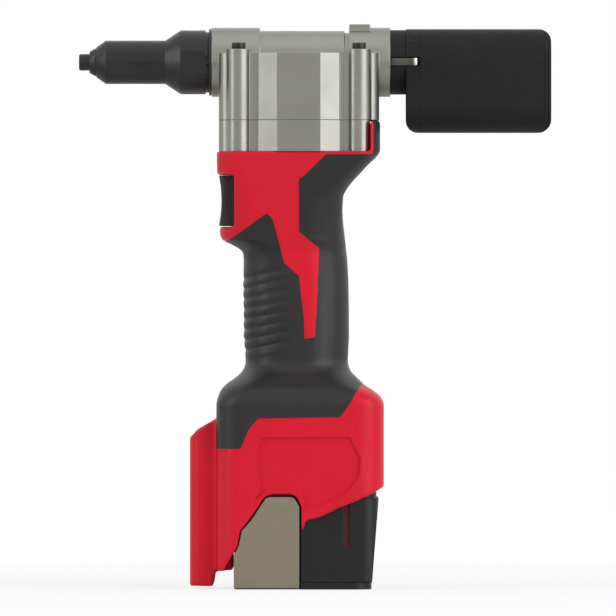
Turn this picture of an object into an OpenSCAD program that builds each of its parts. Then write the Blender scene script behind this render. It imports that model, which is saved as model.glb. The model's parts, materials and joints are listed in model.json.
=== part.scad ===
// Battery rivet tool: a pistol grip puller for blind rivets.
// X runs from the nose at the front (negative) to the mandrel collector at the rear,
// Y runs across the tool and Z is up. The drive axis is the Z axis, the pulling axis
// lies along X above it, and the tool stands on the floor of its battery at Z = 0.

/* [Base] */
// Reach of the base in front of the drive axis
base_front = 28.7; // [28:0.1:31]
// Reach of the base behind the drive axis
base_rear = 29.6; // [29:0.1:32]
// Half of the base's width
base_half_w = 27; // [26.5:0.1:29]
// Corner radius of the base seen from above
base_corner_r = 9; // [7:0.5:11]
// Height of the shoulder where the base starts to narrow
shoulder_z = 65.5; // [65:0.5:72]
// Height of the red front edge above the floor
base_floor_z = 6.3; // [5:0.1:8]
// Length of the front foot, from the base's face to its toe
foot_l = 9.4; // [6:0.1:12]
// Half of the front foot's width
foot_half_w = 15; // [10:0.5:18]
// Height of the front foot's shoulder above the floor
foot_h = 57; // [45:0.5:62]
// Running height of the front foot above the floor
foot_gap = 1; // [0.5:0.1:2]

/* [Grip] */
// Height of the flare between the base and the grip
flare_h = 13; // [11:0.5:18]
// Height of the straight grip
grip_h = 39.5; // [36:0.5:60]
// Reach of the grip in front of the drive axis
grip_front = 18.2; // [18:0.1:20]
// Reach of the grip behind the drive axis
grip_rear = 16.8; // [16.5:0.1:19]
// Half of the grip's width
grip_half_w = 15.8; // [15.6:0.1:18]
// Corner radius of the grip seen from above
grip_corner_r = 14; // [11:0.5:15]
// Thickness of the rubber on the grip
grip_t = 1.5; // [1:0.1:1.8]
// Wall of the plastic shells
wall_t = 2.2; // [1.8:0.1:2.4]
// Number of grooves in the finger grip
groove_count = 8; // [8:1:10]
// Depth of a grip groove
groove_depth = 0.6; // [0.3:0.1:0.8]
// Width of a grip groove
groove_w = 1.3; // [0.8:0.1:1.8]

/* [Trigger area] */
// Height from the top of the grip to the top of the lip under the trigger
lip_rise = 8.4; // [8:0.1:12]
// Height of the trigger opening
trigger_open_h = 18.2; // [16:0.1:22]
// Height of the brow above the trigger opening
brow_h = 8; // [8:0.1:11]
// Reach of the lip in front of the drive axis
lip_front = 27.6; // [27:0.1:29]
// Half of the lip's width
lip_half_w = 17.4; // [17:0.1:19]
// Corner radius at the front of the lip
lip_corner_r = 15; // [12:0.5:16]
// Narrowest reach of the web behind the drive axis
web_rear = 15.1; // [15:0.1:16.5]
// Reach of the crown in front of the drive axis
crown_front = 28.7; // [28:0.1:30]
// Reach of the crown and its tail behind the drive axis
crown_rear = 28.2; // [28:0.1:30]
// Half of the crown's width
crown_half_w = 24; // [23:0.1:26]
// Corner radius of the crown seen from above
crown_corner_r = 8; // [6:0.5:9]
// Depth of the trigger opening behind the crown's front
trigger_depth = 6.1; // [5:0.1:7]
// Half of the trigger's width
trigger_half_w = 10.5; // [8:0.1:12]
// Travel of the trigger
trigger_travel = 3; // [2:0.1:3.5]

/* [Gear head] */
// Height of the ring gear case that shows above the shells
ring_case_h = 10.9; // [10.5:0.1:14]
// Height of the pulling axis above the seam of the head
axis_rise = 20.5; // [20:0.1:23]
// Length of the head's block
head_l = 56; // [54:0.5:60]
// Width of the head's core
head_core_w = 34; // [33:0.5:38]
// Width of the head across its side flats
head_w = 48; // [46:0.5:52]
// Length of a side flat
head_flat_l = 15; // [12:0.5:18]
// Height of the head's block above the seam
head_block_h = 23.5; // [22:0.1:25]
// Radius of the barrel's end rings
barrel_r = 12.1; // [12:0.1:13]
// Radius of the barrel between its end rings
barrel_mid_r = 11; // [10.9:0.1:12]
// Distance of the screw columns from the drive axis along X
column_x = 21; // [19:0.1:23]
// Distance of the screw columns from the drive axis along Y
column_y = 17.4; // [17:0.1:19]
// Radius of a screw column
column_r = 4.2; // [3.5:0.1:5]
// Radius of a head screw's head
head_screw_head_r = 2.7; // [2:0.1:3.2]
// Radius of a head screw's shank
head_screw_r = 1.5; // [1.2:0.1:1.8]
// Length of the cast boss on top of the head
boss_l = 7.4; // [6:0.1:8]

/* [Nose] */
// Length of the nose from the head's front ring to the tip
nose_l = 45.5; // [45:0.1:50]
// Radius of the nose housing
nose_r = 7.6; // [7.5:0.1:8.5]
// Radius of the nose collar
collar_r = 11.2; // [10.8:0.1:12]
// Length of the nose collar
collar_l = 9.9; // [9.5:0.1:12]
// Length of the taper behind the nose housing
taper_l = 5.4; // [4:0.1:7]
// Radius of the nosepiece at its tip
tip_r = 2.9; // [2.7:0.1:3.5]
// Radius of the bore that takes a rivet's mandrel
mandrel_bore_r = 1.65; // [1.2:0.05:1.7]

/* [Collector] */
// Length of the neck between the head and the collector
neck_l = 5.2; // [4:0.1:8]
// Radius of the neck
neck_r = 11.3; // [11:0.1:12]
// Length of the collector with its cap
collector_l = 51; // [40:0.5:70]
// Half of the collector's width
collector_half_w = 11.6; // [11.6:0.1:18]
// Reach of the collector below the pulling axis
collector_drop = 24.7; // [20:0.1:30]
// Wall of the collector
collector_wall = 1.8; // [1.4:0.1:2.4]
// Length of the collector's cap
collector_cap_l = 4.8; // [4.6:0.1:7]
// Rounding of the collector's rear corners
collector_round = 4.4; // [2:0.1:6]

/* [Battery] */
// Reach of the battery's floor in front of the drive axis
battery_front = 22.5; // [21:0.1:23]
// Reach of the battery's floor behind the drive axis
battery_rear = 25.3; // [24:0.1:25.5]
// Room between the base's side and the battery's
battery_side_gap = 2.8; // [2.8:0.1:3.4]
// Height of the battery's block, below the stem
battery_block_h = 34.6; // [33.5:0.1:38]
// Height of the top of the battery's stem
stem_top_z = 70; // [69.8:0.1:70.4]
// Thickness of the battery's floor
battery_floor_t = 2.4; // [1.5:0.1:2.4]
// Radius of a cell
cell_r = 9.05; // [8.5:0.05:9.1]
// Length of a cell
cell_l = 65; // [60:0.5:65]
// Height of the release clips
clip_h = 32; // [31.5:0.1:32.5]
// Width of the release clips at their foot
clip_w = 22.4; // [20:0.1:22.8]
// Thickness of the release clips
clip_t = 3.2; // [2.5:0.1:3.4]
/* [Drive] */
// Radius of the motor's can
motor_r = 11.8; // [10.5:0.1:11.9]
// Length of the motor's can
motor_l = 34; // [30:0.5:34]
// Module of the planetary gears
planet_module = 0.7; // [0.66:0.01:0.7]
// Pitch radius of each bevel gear
bevel_pitch_r = 8.5; // [8.3:0.1:8.5]
// Radius of the pull spindle
spindle_r = 4.5; // [4.2:0.05:4.5]
// Radius of the bore through the spindle
spindle_bore_r = 2; // [1.9:0.05:2.2]
// Stroke of the pull spindle
stroke = 20.3; // [15:0.1:20.3]
// Radius of the jaw case
jaw_case_r = 6; // [5.9:0.05:6.1]

/* [Hidden] */
$fn = 64;
arc_steps = 9;
span = 400;
ov = 1;
fit_gap = 0.03;
run_gap = 0.06;
part_gap = 0.3;

// Colours of the real materials
red = "#d31f2c";
black = "#2c2b2b";
rubber = "#353332";
alloy = "#8f9088";
steel = "#b5b7b8";
dark_steel = "#303030";
brass = "#b8974a";
copper = "#b0683c";
magnet = "#4a4846";
board_green = "#2d5a3c";
cell_blue = "#3f6f9a";
clip_grey = "#8a8577";

// Heights of the stack, from the floor up
grip_z = shoulder_z + flare_h;
lip_z = grip_z + grip_h;
trigger_z = lip_z + lip_rise;
shell_top_z = trigger_z + trigger_open_h + brow_h;
seam_z = shell_top_z + ring_case_h;
pull_z = seam_z + axis_rise;

// Places along the pulling axis, from the head to the tip
front_ring_l = 2.5;
rear_ring_l = 3.9;
washer_l = 1;
head_front_x = -head_l / 2 - front_ring_l;
head_rear_x = head_l / 2 + rear_ring_l;
collar_rear_x = head_front_x - washer_l;
collar_x = collar_rear_x - collar_l;
tip_x = collar_rear_x - nose_l;

// Nosepiece and nose housing
tip_l = 3.7;
tip_cone_l = 2.3;
tip_step_r = 3.8;
tip_flange_r = 5.1;
thread_l = 3;
thread_r = 4;
nose_cone_l = 3.4;
nose_cone_r = 5;
nose_x = tip_x + tip_l + tip_cone_l;
nose_bore_x = nose_x + nose_cone_l;
spigot_r = 8;
spigot_l = 7.5;
sleeve_r = 9.4;
sleeve_l = 3;
collar_groove_l = 1.1;
collar_groove_depth = 0.6;
collar_flat_depth = 0.7;
washer_r = 11.7;

// Jaws and spindle
jaw_case_l = 17.5;
jaw_cone_l = 8;
jaw_mouth_r = 2.9;
jaw_rear_r = 4.9;
jaw_room_l = 3.5;
jaw_bore_r = 1.75;
jaw_l = 7.4;
jaw_sector = 76;
pusher_l = 2.3;
pusher_r = 3.95;
spring_seat_r = 3.4;
spring_seat_l = 6.8;
spring_r = 3.2;
spring_wire = 0.9;
jaw_case_x = nose_bore_x + part_gap;
spindle_x = jaw_case_x + jaw_cone_l + jaw_room_l;
jaw_case_end = jaw_case_x + jaw_case_l;
jaw_front_x = jaw_case_x + part_gap;
pusher_x = jaw_front_x + jaw_l + part_gap;
spindle_rear_x = 11;
pin_r = 1.15;
pin_half_l = 6.5;
pin_x = 8;

// Nut and bevel gears
stop_wall_l = 2.2;
thrust_l = 3;
nut_chamber_r = 9.8;
nut_r = 8.6;
nut_sleeve_r = 5.8;
nut_sleeve_l = 2.4;
bevel_face_l = 1.6;
bevel_add = 0.8;
bevel_ded = 1.15;
bevel_teeth = 14;
bevel_hub_r = 6.9;
bevel_hub_l = 2.5;
nut_bearing_l = 6;
chamber_r = 12.5;
chamber_h = 17.5;
thrust_x = jaw_case_end + stroke + part_gap + stop_wall_l;
nut_x = thrust_x + thrust_l;
nut_rear_x = -bevel_pitch_r - bevel_hub_l;
nut_chamber_l = -bevel_pitch_r + bevel_hub_l + bevel_hub_l - thrust_x;

// Planetary gears
sun_teeth = 12;
planet_teeth = 18;
ring_teeth = sun_teeth + 2 * planet_teeth;
sun_r = planet_module * sun_teeth / 2;
planet_r = planet_module * planet_teeth / 2;
ring_r = planet_module * ring_teeth / 2;
planet_orbit = sun_r + planet_r;
gear_add_share = 0.8;
gear_ded_share = 1.05;
gear_add = planet_module * gear_add_share;
gear_ded = planet_module * gear_ded_share;
backlash = 0.16;
pressure = 20;
flank_steps = 4;
planet_w = 7;
planet_pin_r = 1.5;
carrier_t = 2.6;
carrier_rim = 2.6;
output_r = 3.5;
output_bearing_r = 7;
output_bearing_l = 3.5;
ring_gear_rim = 1.4;
ring_gear_r = ring_r + gear_ded + ring_gear_rim;
ring_case_spigot_l = 3.6;
ring_case_wall = 1;
stack_gap = 1;
ring_spigot_r = ring_gear_r + ring_case_wall;
ring_case_z = shell_top_z - ring_case_spigot_l;
planet_z = ring_case_z + stack_gap;
carrier_z = planet_z + planet_w + part_gap;
plate_t = 2.9;
plate_z = ring_case_z - plate_t - part_gap / 2;
plate_r = ring_gear_r - carrier_rim / 4;
bearing_plate_t = 3;
bearing_plate_r = ring_gear_r;
pinion_hub_z = seam_z + output_bearing_l + part_gap;
pinion_z = pull_z - bevel_pitch_r;

// Motor
motor_rise = 3;
motor_top_z = lip_z + motor_rise;
motor_z = motor_top_z - motor_l;
bell_h = 3;
can_wall = 0.9;
magnet_t = 1.4;
rotor_gap = 0.4;
rotor_r = motor_r - can_wall - magnet_t - rotor_gap;
core_l = 22;
core_z = motor_z + (motor_l - core_l) / 2;
shaft_r = 2;
bearing_r = 4;
bearing_l = 2.2;

// Shell details
cavity_inset = wall_t + grip_t;
rib_t = 2;
passage_gap = 0.3;
bulkhead_t = 2.2;
screw_inset = 4.6;
lip_screw_in = 9.2;
web_screw_in = 6.5;
grip_screw_in = 5.8;
base_screw_drop = 8.3;
boss_r = 2.4;
boss_reach = 3;
casing_screw_r = 1.2;
casing_head_r = 2.6;
casing_head_l = 2;
screw_depth = 9.6;
panel_depth = 0.8;
sill_gap = 0.4;
sill_h = 10;
tail_gap = 0.4;
tail_wall = 3.3;
tail_red = 1;
tail_x = crown_rear - tail_wall;

// Switch, board and terminals
switch_gap = 3.3;
switch_l = 10.5;
switch_half_w = 7;
board_x = 3.2;
board_t = 1.6;
block_half_l = 8.5;
block_half_w = 9;
block_h = 4.4;
tower_half_l = 7.5;
tower_half_w = 8;
tower_h = 6;
wire_r = 0.7;
wire_y = 2.5;
rib_low_z = trigger_z - rib_t;
brow_rib_t = 1.2;
brow_rib_z = trigger_z + trigger_open_h;
block_z = stem_top_z + tower_h + part_gap;
wire_z = block_z + block_h + wire_r + part_gap;

// Battery
stem_front = 19.5;
stem_rear = 17.5;
stem_half_w = 19.4;
stem_corner_r = 9.6;
stem_wall = 1;
block_corner_r = 6;
block_lean = 2.7;
block_room = 0.4;
block_step_share = 0.92;
battery_half_w = base_half_w - battery_side_gap;
clip_face = 0.4;
clip_pocket_gap = 2.6;
clip_pin_r = 0.8;
clip_pin_z = 6;
clip_boss_r = 1.7;
clip_pin_half_share = 0.4;
cell_floor = 0.2;
slot_w = 1.8;
slot_depth = 0.8;
slot_h = 15;
slot_z = 14.7;

// Shapes that repeat
module along_x() rotate([0, 90, 0]) children();
module along_y() rotate([-90, 0, 0]) children();
module across(width) rotate([90, 0, 0]) linear_extrude(width, center = true) children();
module at_pull(x) translate([x, 0, pull_z]) along_x() children();
module disc(z, h, r) translate([0, 0, z]) cylinder(h = h, r = r);
module rod(x, h, r) at_pull(x) cylinder(h = h, r = r);
module washer(z, h, outer, inner) difference() {
    disc(z, h, outer);
    disc(z - ov, h + 2 * ov, inner);
}
module tube(x, h, outer, inner) difference() {
    rod(x, h, outer);
    rod(x - ov, h + 2 * ov, inner);
}
module rounded(l, w, r) {
    square([l - 2 * r, w], center = true);
    square([l, w - 2 * r], center = true);
    for (x = [-1, 1], y = [-1, 1])
        translate([x * (l / 2 - r), y * (w / 2 - r)]) circle(r);
}
module box(x0, x1, half_w, z0, z1)
    translate([x0, -half_w, z0]) cube([x1 - x0, 2 * half_w, z1 - z0]);
module keep_left() intersection() {
    children();
    translate([-span / 2, -span, -span / 2]) cube(span);
}
module keep_right() intersection() {
    children();
    translate([-span / 2, 0, -span / 2]) cube(span);
}
function mix(a, b, share) = a + (b - a) * share;

// Involute teeth: half of a tooth's angle at a radius, then the whole outline
function involute(r, base) = let (t = sqrt(pow(r / base, 2) - 1)) t * 180 / PI - atan(t);
function tooth_half(r, pitch, teeth, thin) = let (base = pitch * cos(pressure))
    90 / teeth - thin / pitch * 90 / PI + involute(pitch, base) - involute(max(r, base), base);
function polar(r, a) = [r * cos(a), r * sin(a)];
function gear_outline(teeth, pitch, add, ded, thin) = [
    for (k = [0 : teeth - 1], side = [-1, 1], i = [0 : flank_steps])
        let (step = side < 0 ? i / flank_steps : 1 - i / flank_steps,
             rad = mix(pitch - ded, pitch + add, step))
        polar(rad, 360 * k / teeth + side * tooth_half(rad, pitch, teeth, thin))
];

// Outline of the handle. Each row of shares gives a height within its zone, then how
// far the front, the rear and the width have gone from the zone's start to its end.
flare_shares = [
    [0, 0, 0, 0], [0.17, 0.08, 0.11, 0.1], [0.31, 0.12, 0.33, 0.22], [0.46, 0.33, 0.58, 0.42],
    [0.62, 0.63, 0.72, 0.62], [0.78, 0.86, 0.92, 0.83], [1, 1, 1, 1]
];
grip_shares = [
    [0.14, 0, 0, 0], [0.44, 0, 0, 0], [0.75, 0.03, 0.12, 0], [0.92, 0.08, 0.35, 0.05],
    [0.99, 0.13, 0.53, 0.12]
];
lip_shares = [
    [0.18, 0.3, 0.65, 0.31], [0.47, 0.62, 0.7, 0.62], [0.69, 0.92, 0.76, 0.87], [1, 1, 0.82, 1]
];
crown_shares = [
    [0.16, 0.27, 0, 0.15], [0.33, 0.55, 0, 0.32], [0.48, 0.73, 0.02, 0.47], [0.58, 0.8, 0.15, 0.57],
    [0.66, 0.85, 0.29, 0.66], [0.75, 0.9, 0.48, 0.74], [0.83, 0.95, 0.64, 0.83],
    [0.9, 0.98, 0.8, 0.9], [0.95, 1, 0.92, 0.95], [1, 1, 1, 1]
];
lip_share = 0.65;
lip_top_z = lip_z + lip_rise * lip_share;
tail_z = seam_z - tail_gap;

// Row of the skin: height, front, rear, half width, front corner, rear corner
base_rows = [
    for (z = [base_floor_z, shoulder_z - flare_h / 2])
        [z, base_front, base_rear, base_half_w, base_corner_r, base_corner_r]
];
flare_rows = [
    for (s = flare_shares)
        [mix(shoulder_z, grip_z, s[0]), mix(base_front, grip_front, s[1]),
         mix(base_rear, grip_rear, s[2]), mix(base_half_w, grip_half_w, s[3]),
         mix(base_corner_r, grip_corner_r, s[3]), mix(base_corner_r, grip_corner_r, s[3])]
];
grip_rows = [
    for (s = grip_shares)
        [mix(grip_z, lip_z, s[0]), mix(grip_front, lip_front, s[1]),
         mix(grip_rear, web_rear, s[2]), mix(grip_half_w, lip_half_w, s[3]),
         grip_corner_r, grip_corner_r]
];
lip_rows = [
    for (s = lip_shares)
        [mix(lip_z, lip_top_z, s[0]), mix(grip_front, lip_front, s[1]),
         mix(grip_rear, web_rear, s[2]), mix(grip_half_w, lip_half_w, s[3]),
         mix(grip_corner_r, lip_corner_r, s[3]), grip_corner_r]
];
crown_rows = [
    for (s = crown_shares)
        [mix(lip_top_z, shell_top_z, s[0]), mix(lip_front, crown_front, s[1]),
         mix(web_rear, crown_rear, s[2]), mix(lip_half_w, crown_half_w, s[3]),
         mix(lip_corner_r, crown_corner_r, s[3]), mix(grip_corner_r, crown_corner_r, s[3])]
];
tail_rows = [[tail_z, crown_front, crown_rear, crown_half_w, crown_corner_r, crown_corner_r]];
skin_rows = concat(base_rows, flare_rows, grip_rows, lip_rows, crown_rows, tail_rows);

// Room inside the shells: a thin wall round the battery, and rubber and wall above it
function room_inset(row) = row[0] < shoulder_z ? wall_t : cavity_inset;
room_rows = concat(
    [for (i = [0]) let (r = skin_rows[i]) concat([r[0] - ov], [for (k = [1 : 5]) r[k]])],
    [for (i = [1 : len(skin_rows) - 3]) skin_rows[i]],
    [let (r = crown_rows[len(crown_rows) - 1]) concat([r[0] + ov], [for (k = [1 : 5]) r[k]])]
);
function arc(cx, cy, r, start) = [
    for (i = [0 : arc_steps]) let (a = start + 90 * i / arc_steps) [cx + r * cos(a), cy + r * sin(a)]
];
function loop(row, inset) = let (
        front = row[1] - inset, rear = row[2] - inset, w = row[3] - inset,
        rf = max(row[4] - inset, wall_t), rr = max(row[5] - inset, wall_t))
    concat(arc(rear - rr, w - rr, rr, 0), arc(rf - front, w - rf, rf, 90),
           arc(rf - front, rf - w, rf, 180), arc(rear - rr, rr - w, rr, 270));
module loft(rows, insets) {
    n = 4 * (arc_steps + 1);
    points = [
        for (k = [0 : len(rows) - 1], p = loop(rows[k], insets[k])) [p[0], p[1], rows[k][0]]
    ];
    top = (len(rows) - 1) * n;
    sides = [
        for (k = [0 : len(rows) - 2], i = [0 : n - 1])
            let (a = k * n + i, b = k * n + (i + 1) % n) each [[a, a + n, b + n], [a, b + n, b]]
    ];
    lids = [[for (i = [0 : n - 1]) i], [for (i = [n - 1 : -1 : 0]) top + i]];
    polyhedron(points, concat(sides, lids));
}
module skin(inset) loft(skin_rows, [for (r = skin_rows) inset]);
module room() loft(room_rows, [for (r = room_rows) room_inset(r)]);
module room_block() loft(room_rows, [for (r = room_rows) room_inset(r) - wall_t / 2]);

// Rubber areas seen from the side, as shares of the grip's depth and of the handle's height
blade_shares = [
    [0.79, 0.988], [0.586, 0.908], [0.52, 0.888], [0.52, 0.679], [0.722, 0.613], [0.71, 0.452],
    [0.685, 0.29], [0.68, 0.257], [0.576, 0.249], [0.57, 0.325], [0.52, 0.502], [0.37, 0.556],
    [0.335, 0.617], [0.26, 0.727], [0.23, 0.743], [0.2, 0.752], [-0.12, 0.661], [-0.25, 0.632]
];
boot_shares = [
    [0, 0.748], [0.144, 0.748], [0.192, 0.85], [0.25, 0.91], [0.739, 0.916], [0.81, 1.006],
    [0.832, 1.047], [0.87, 1.095]
];
function grip_at(s) = [mix(-grip_front, grip_rear, s[0]), mix(shoulder_z, shell_top_z, s[1])];
function base_at(s) = [mix(-base_front, base_rear, s[0]), shoulder_z * s[1]];
rubber_outline = concat(
    [[-base_front - ov, base_at(boot_shares[0])[1]]],
    [for (s = boot_shares) base_at(s)],
    [[base_rear + ov, base_at(boot_shares[len(boot_shares) - 1])[1]],
     [base_rear + ov, tail_z + ov], [tail_x + tail_red, tail_z + ov],
     [tail_x + tail_red, grip_at(blade_shares[0])[1]]],
    [for (s = blade_shares) grip_at(s)],
    [[-base_front - ov, grip_at(blade_shares[len(blade_shares) - 1])[1] - ov]]
);
module rubber_area() across(span) polygon(rubber_outline);

// Lower edge of the base: the battery and its clips show below it
edge_start_share = 0.042;
edge_shares = [
    [0.127, 0.232], [0.143, 0.312], [0.202, 0.376], [0.257, 0.449],
    [0.284, 0.49], [0.326, 0.504], [0.452, 0.504], [0.481, 0.489], [0.505, 0.438], [0.505, 0.32],
    [0.524, 0.322], [0.53, 0.365], [0.624, 0.385], [0.717, 0.427], [0.81, 0.46], [0.906, 0.497],
    [1, 0.545]
];
edge_start_x = base_at([edge_start_share, 0])[0];
edge_outline = concat(
    [[edge_start_x, -ov], [edge_start_x, base_floor_z + fit_gap]],
    [for (s = edge_shares) base_at(s)],
    [[base_rear + ov, base_at(edge_shares[len(edge_shares) - 1])[1]], [base_rear + ov, -ov]]
);
panel_shares = [
    [0.228, 0.47], [0.26, 0.54], [0.25, 0.62], [0.24, 0.75], [0.27, 0.81], [0.8, 0.81],
    [0.86, 0.7], [0.85, 0.6], [0.79, 0.53], [0.72, 0.49], [0.6, 0.44], [0.53, 0.43], [0.51, 0.52],
    [0.3, 0.53]
];
panel_outline = [for (s = panel_shares) base_at(s)];

// Screws that join the shells: place seen from the side and the seat of the head
crown_seat_share = 0.66;
lip_seat_share = 0.63;
grip_seat_share = 0.62;
base_seat_share = 0.74;
screw_places = [
    [-crown_front + screw_inset, shell_top_z - screw_inset, crown_half_w * crown_seat_share, -1],
    [-lip_front + lip_screw_in, lip_z + motor_rise, lip_half_w * lip_seat_share, -1],
    [web_rear - web_screw_in, trigger_z + screw_inset, lip_half_w * lip_seat_share, 1],
    [-grip_front + grip_screw_in, block_z + boss_r, grip_half_w * grip_seat_share, -1],
    [grip_rear - grip_screw_in, block_z + boss_r, grip_half_w * grip_seat_share, 1],
    [-base_front + screw_inset, shoulder_z - base_screw_drop, base_half_w * base_seat_share, -1],
    [base_rear - screw_inset, shoulder_z - base_screw_drop, base_half_w * base_seat_share, 1]
];
module at_screw(p) translate([p[0], 0, p[1]]) along_y() children();

// Front foot under the grip hand
module foot() {
    toe_x = -base_front - foot_l;
    round_r = foot_l / 2;
    intersection() {
        hull() for (y = [-1, 1]) {
            translate([toe_x + round_r, y * (foot_half_w - round_r), foot_gap])
                cylinder(h = foot_h + foot_l, r = round_r, $fn = 32);
            translate([-base_front + wall_t, y * (foot_half_w - round_r), foot_gap])
                cylinder(h = foot_h + foot_l, r = round_r, $fn = 32);
        }
        across(span) polygon([
            [toe_x - ov, foot_gap], [-base_front - wall_t / 2, foot_gap],
            [-base_front + fit_gap, base_floor_z + wall_t],
            [-base_front + wall_t / 2, foot_h + foot_l / 3],
            [toe_x + foot_l / 4, foot_h - foot_l / 6], [toe_x + foot_l / 8, foot_h - foot_l / 3],
            [toe_x - ov, foot_h - foot_l / 2]
        ]);
    }
}
module foot_room() translate([-base_front - foot_l + wall_t, wall_t - foot_half_w, foot_gap - ov])
    cube([foot_l - wall_t - part_gap, 2 * (foot_half_w - wall_t), foot_h - foot_l]);

// Ribs that carry the motor, the switch, the board and the terminals
module rib_slab(z, t) translate([-span / 2, -span / 2, z]) cube([span, span, t]);
module ribs() {
    intersection() {
        room_block();
        union() {
            rib_slab(motor_z + rib_t, rib_t);
            rib_slab(motor_top_z - 3 * rib_t, rib_t);
            rib_slab(rib_low_z, rib_t);
            rib_slab(brow_rib_z, brow_rib_t);
            rib_slab(block_z + rib_t / 2, rib_t);
            box(-crown_front + trigger_depth, -crown_front + trigger_depth + bulkhead_t, span,
                rib_low_z, brow_rib_z + brow_rib_t);
        }
    }
}
module rib_cuts() {
    disc(motor_z - span / 4, span / 4 + motor_l + part_gap, motor_r + part_gap);
    disc(motor_z, span, shaft_r + wall_t);
    disc(brow_rib_z - ov, span, plate_r - wall_t);
    box(-block_half_l - fit_gap, block_half_l + fit_gap, block_half_w + fit_gap,
        block_z - span / 4, block_z + block_h + ov);
    box(-motor_r - 4 * wire_r - part_gap, -motor_r, wire_y + 2 * wire_r, block_z, trigger_z + ov);
}

// Sill behind the front wall, which guides the front of the battery
module sill() box(-base_front + wall_t / 2, -battery_front - sill_gap, base_half_w - base_corner_r + wall_t,
    base_floor_z + part_gap, base_floor_z + sill_h);

module shell_solid() {
    sill();
    difference() {
        union() {
            difference() {
                union() {
                    difference() {
                        skin(0);
                        rubber_area();
                    }
                    skin(grip_t);
                    foot();
                }
                room();
                foot_room();
            }
            difference() {
                ribs();
                rib_cuts();
            }
            intersection() {
                skin(grip_t + wall_t / 4);
                for (p = screw_places) hull() {
                    at_screw(p) cylinder(h = span / 4, r = boss_r, center = true, $fn = 24);
                    translate([p[3] * boss_reach, 0, 0])
                        at_screw(p) cylinder(h = span / 4, r = boss_r, center = true, $fn = 24);
                }
            }
        }
        across(span) polygon(edge_outline);
        for (side = [-1, 1]) translate([0, side * (base_half_w + span / 2 - panel_depth), 0])
            across(span) polygon(panel_outline);
        box(-span, tail_x, span, shell_top_z, span);
        disc(ring_case_z - part_gap, span, ring_spigot_r + part_gap / 2);
        disc(plate_z - part_gap, span, plate_r + part_gap / 2);
        box(-span, -crown_front + trigger_depth, span, trigger_z, trigger_z + trigger_open_h);
        box(-span, -crown_front + trigger_depth + bulkhead_t + trigger_travel + ov,
            trigger_half_w + passage_gap, trigger_z, trigger_z + trigger_open_h);
        for (p = screw_places) at_screw(p) {
            translate([0, 0, -screw_depth]) cylinder(h = span, r = casing_screw_r + fit_gap, $fn = 24);
            translate([0, 0, p[2]]) cylinder(h = span, r = casing_head_r + part_gap, $fn = 24);
        }
    }
}

// Rubber over the shells, with grooves under the fingers
groove_low_share = 0.115;
groove_high_share = 0.75;
groove_tilt_share = 0.26;
groove_end_share = 0.385;
module grooves() {
    reach = (grip_front + grip_rear) * groove_end_share;
    for (i = [0 : groove_count - 1]) {
        z = mix(grip_z, lip_z, mix(groove_low_share, groove_high_share, i / (groove_count - 1)));
        hull() {
            translate([-grip_front - ov, 0, z])
                along_y() cylinder(h = span, r = groove_w / 2, center = true, $fn = 16);
            translate([-grip_front + reach, 0, z + reach * groove_tilt_share])
                along_y() cylinder(h = span, r = groove_w / 2, center = true, $fn = 16);
        }
    }
}
module rubber_solid() {
    difference() {
        intersection() {
            skin(0);
            rubber_area();
        }
        skin(grip_t);
        box(-span, tail_x, span, shell_top_z, span);
        translate([fit_gap, 0, part_gap]) foot();
        translate([0, 0, -part_gap]) foot();
        difference() {
            grooves();
            skin(groove_depth);
        }
        for (p = screw_places) at_screw(p) {
            cylinder(h = p[2] + part_gap, r = casing_screw_r + fit_gap, $fn = 24);
            translate([0, 0, p[2]]) cylinder(h = span, r = casing_head_r + part_gap, $fn = 20);
        }
    }
}

module left_shell() color(red) keep_left() shell_solid();
module right_shell() color(red) keep_right() shell_solid();
module left_grip() color(rubber) keep_left() rubber_solid();
module right_grip() color(rubber) keep_right() rubber_solid();
module casing_screws() color(dark_steel) for (p = screw_places) at_screw(p) {
    translate([0, 0, part_gap - screw_depth]) cylinder(h = screw_depth + p[2], r = casing_screw_r);
    translate([0, 0, p[2]]) difference() {
        cylinder(h = casing_head_l, r = casing_head_r);
        translate([0, 0, casing_head_l / 2]) cylinder(h = casing_head_l, r = casing_screw_r, $fn = 6);
    }
}

// Gear head and ring gear case
facet_share = 0.95;
facet_drop_share = 0.15;
web_out_share = 0.45;
module head_plan(front, rear) {
    translate([(rear - front) / 2, 0]) rounded(front + rear, head_core_w, column_r);
    for (x = [-column_x, column_x], y = [-column_y, column_y])
        translate([x, y]) circle(column_r);
    side_x = head_flat_l * facet_share;
    side_y = head_w / 2 * (1 - facet_drop_share);
    square([2 * column_x, 2 * (column_y + column_r * web_out_share)], center = true);
    polygon([
        [-head_flat_l / 2, -head_w / 2], [head_flat_l / 2, -head_w / 2], [side_x, -side_y],
        [side_x, side_y], [head_flat_l / 2, head_w / 2], [-head_flat_l / 2, head_w / 2],
        [-side_x, side_y], [-side_x, -side_y]
    ]);
}
column_top = 1.3;
head_screw_l = 24;
head_screw_head_l = 2.5;
end_ring_l = 16.8;
rear_block_l = 14.4;
barrel_groove_l = 1.6;
barrel_groove_depth = 0.7;
boss_half_w = 5;
boss_h = 13.2;
head_top_z = seam_z + head_block_h;
column_top_z = head_top_z + column_top;
module column_holes() for (x = [-column_x, column_x], y = [-column_y, column_y])
    translate([x, y, column_top_z - head_screw_l - part_gap])
        cylinder(h = span, r = head_screw_r + fit_gap);
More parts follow.
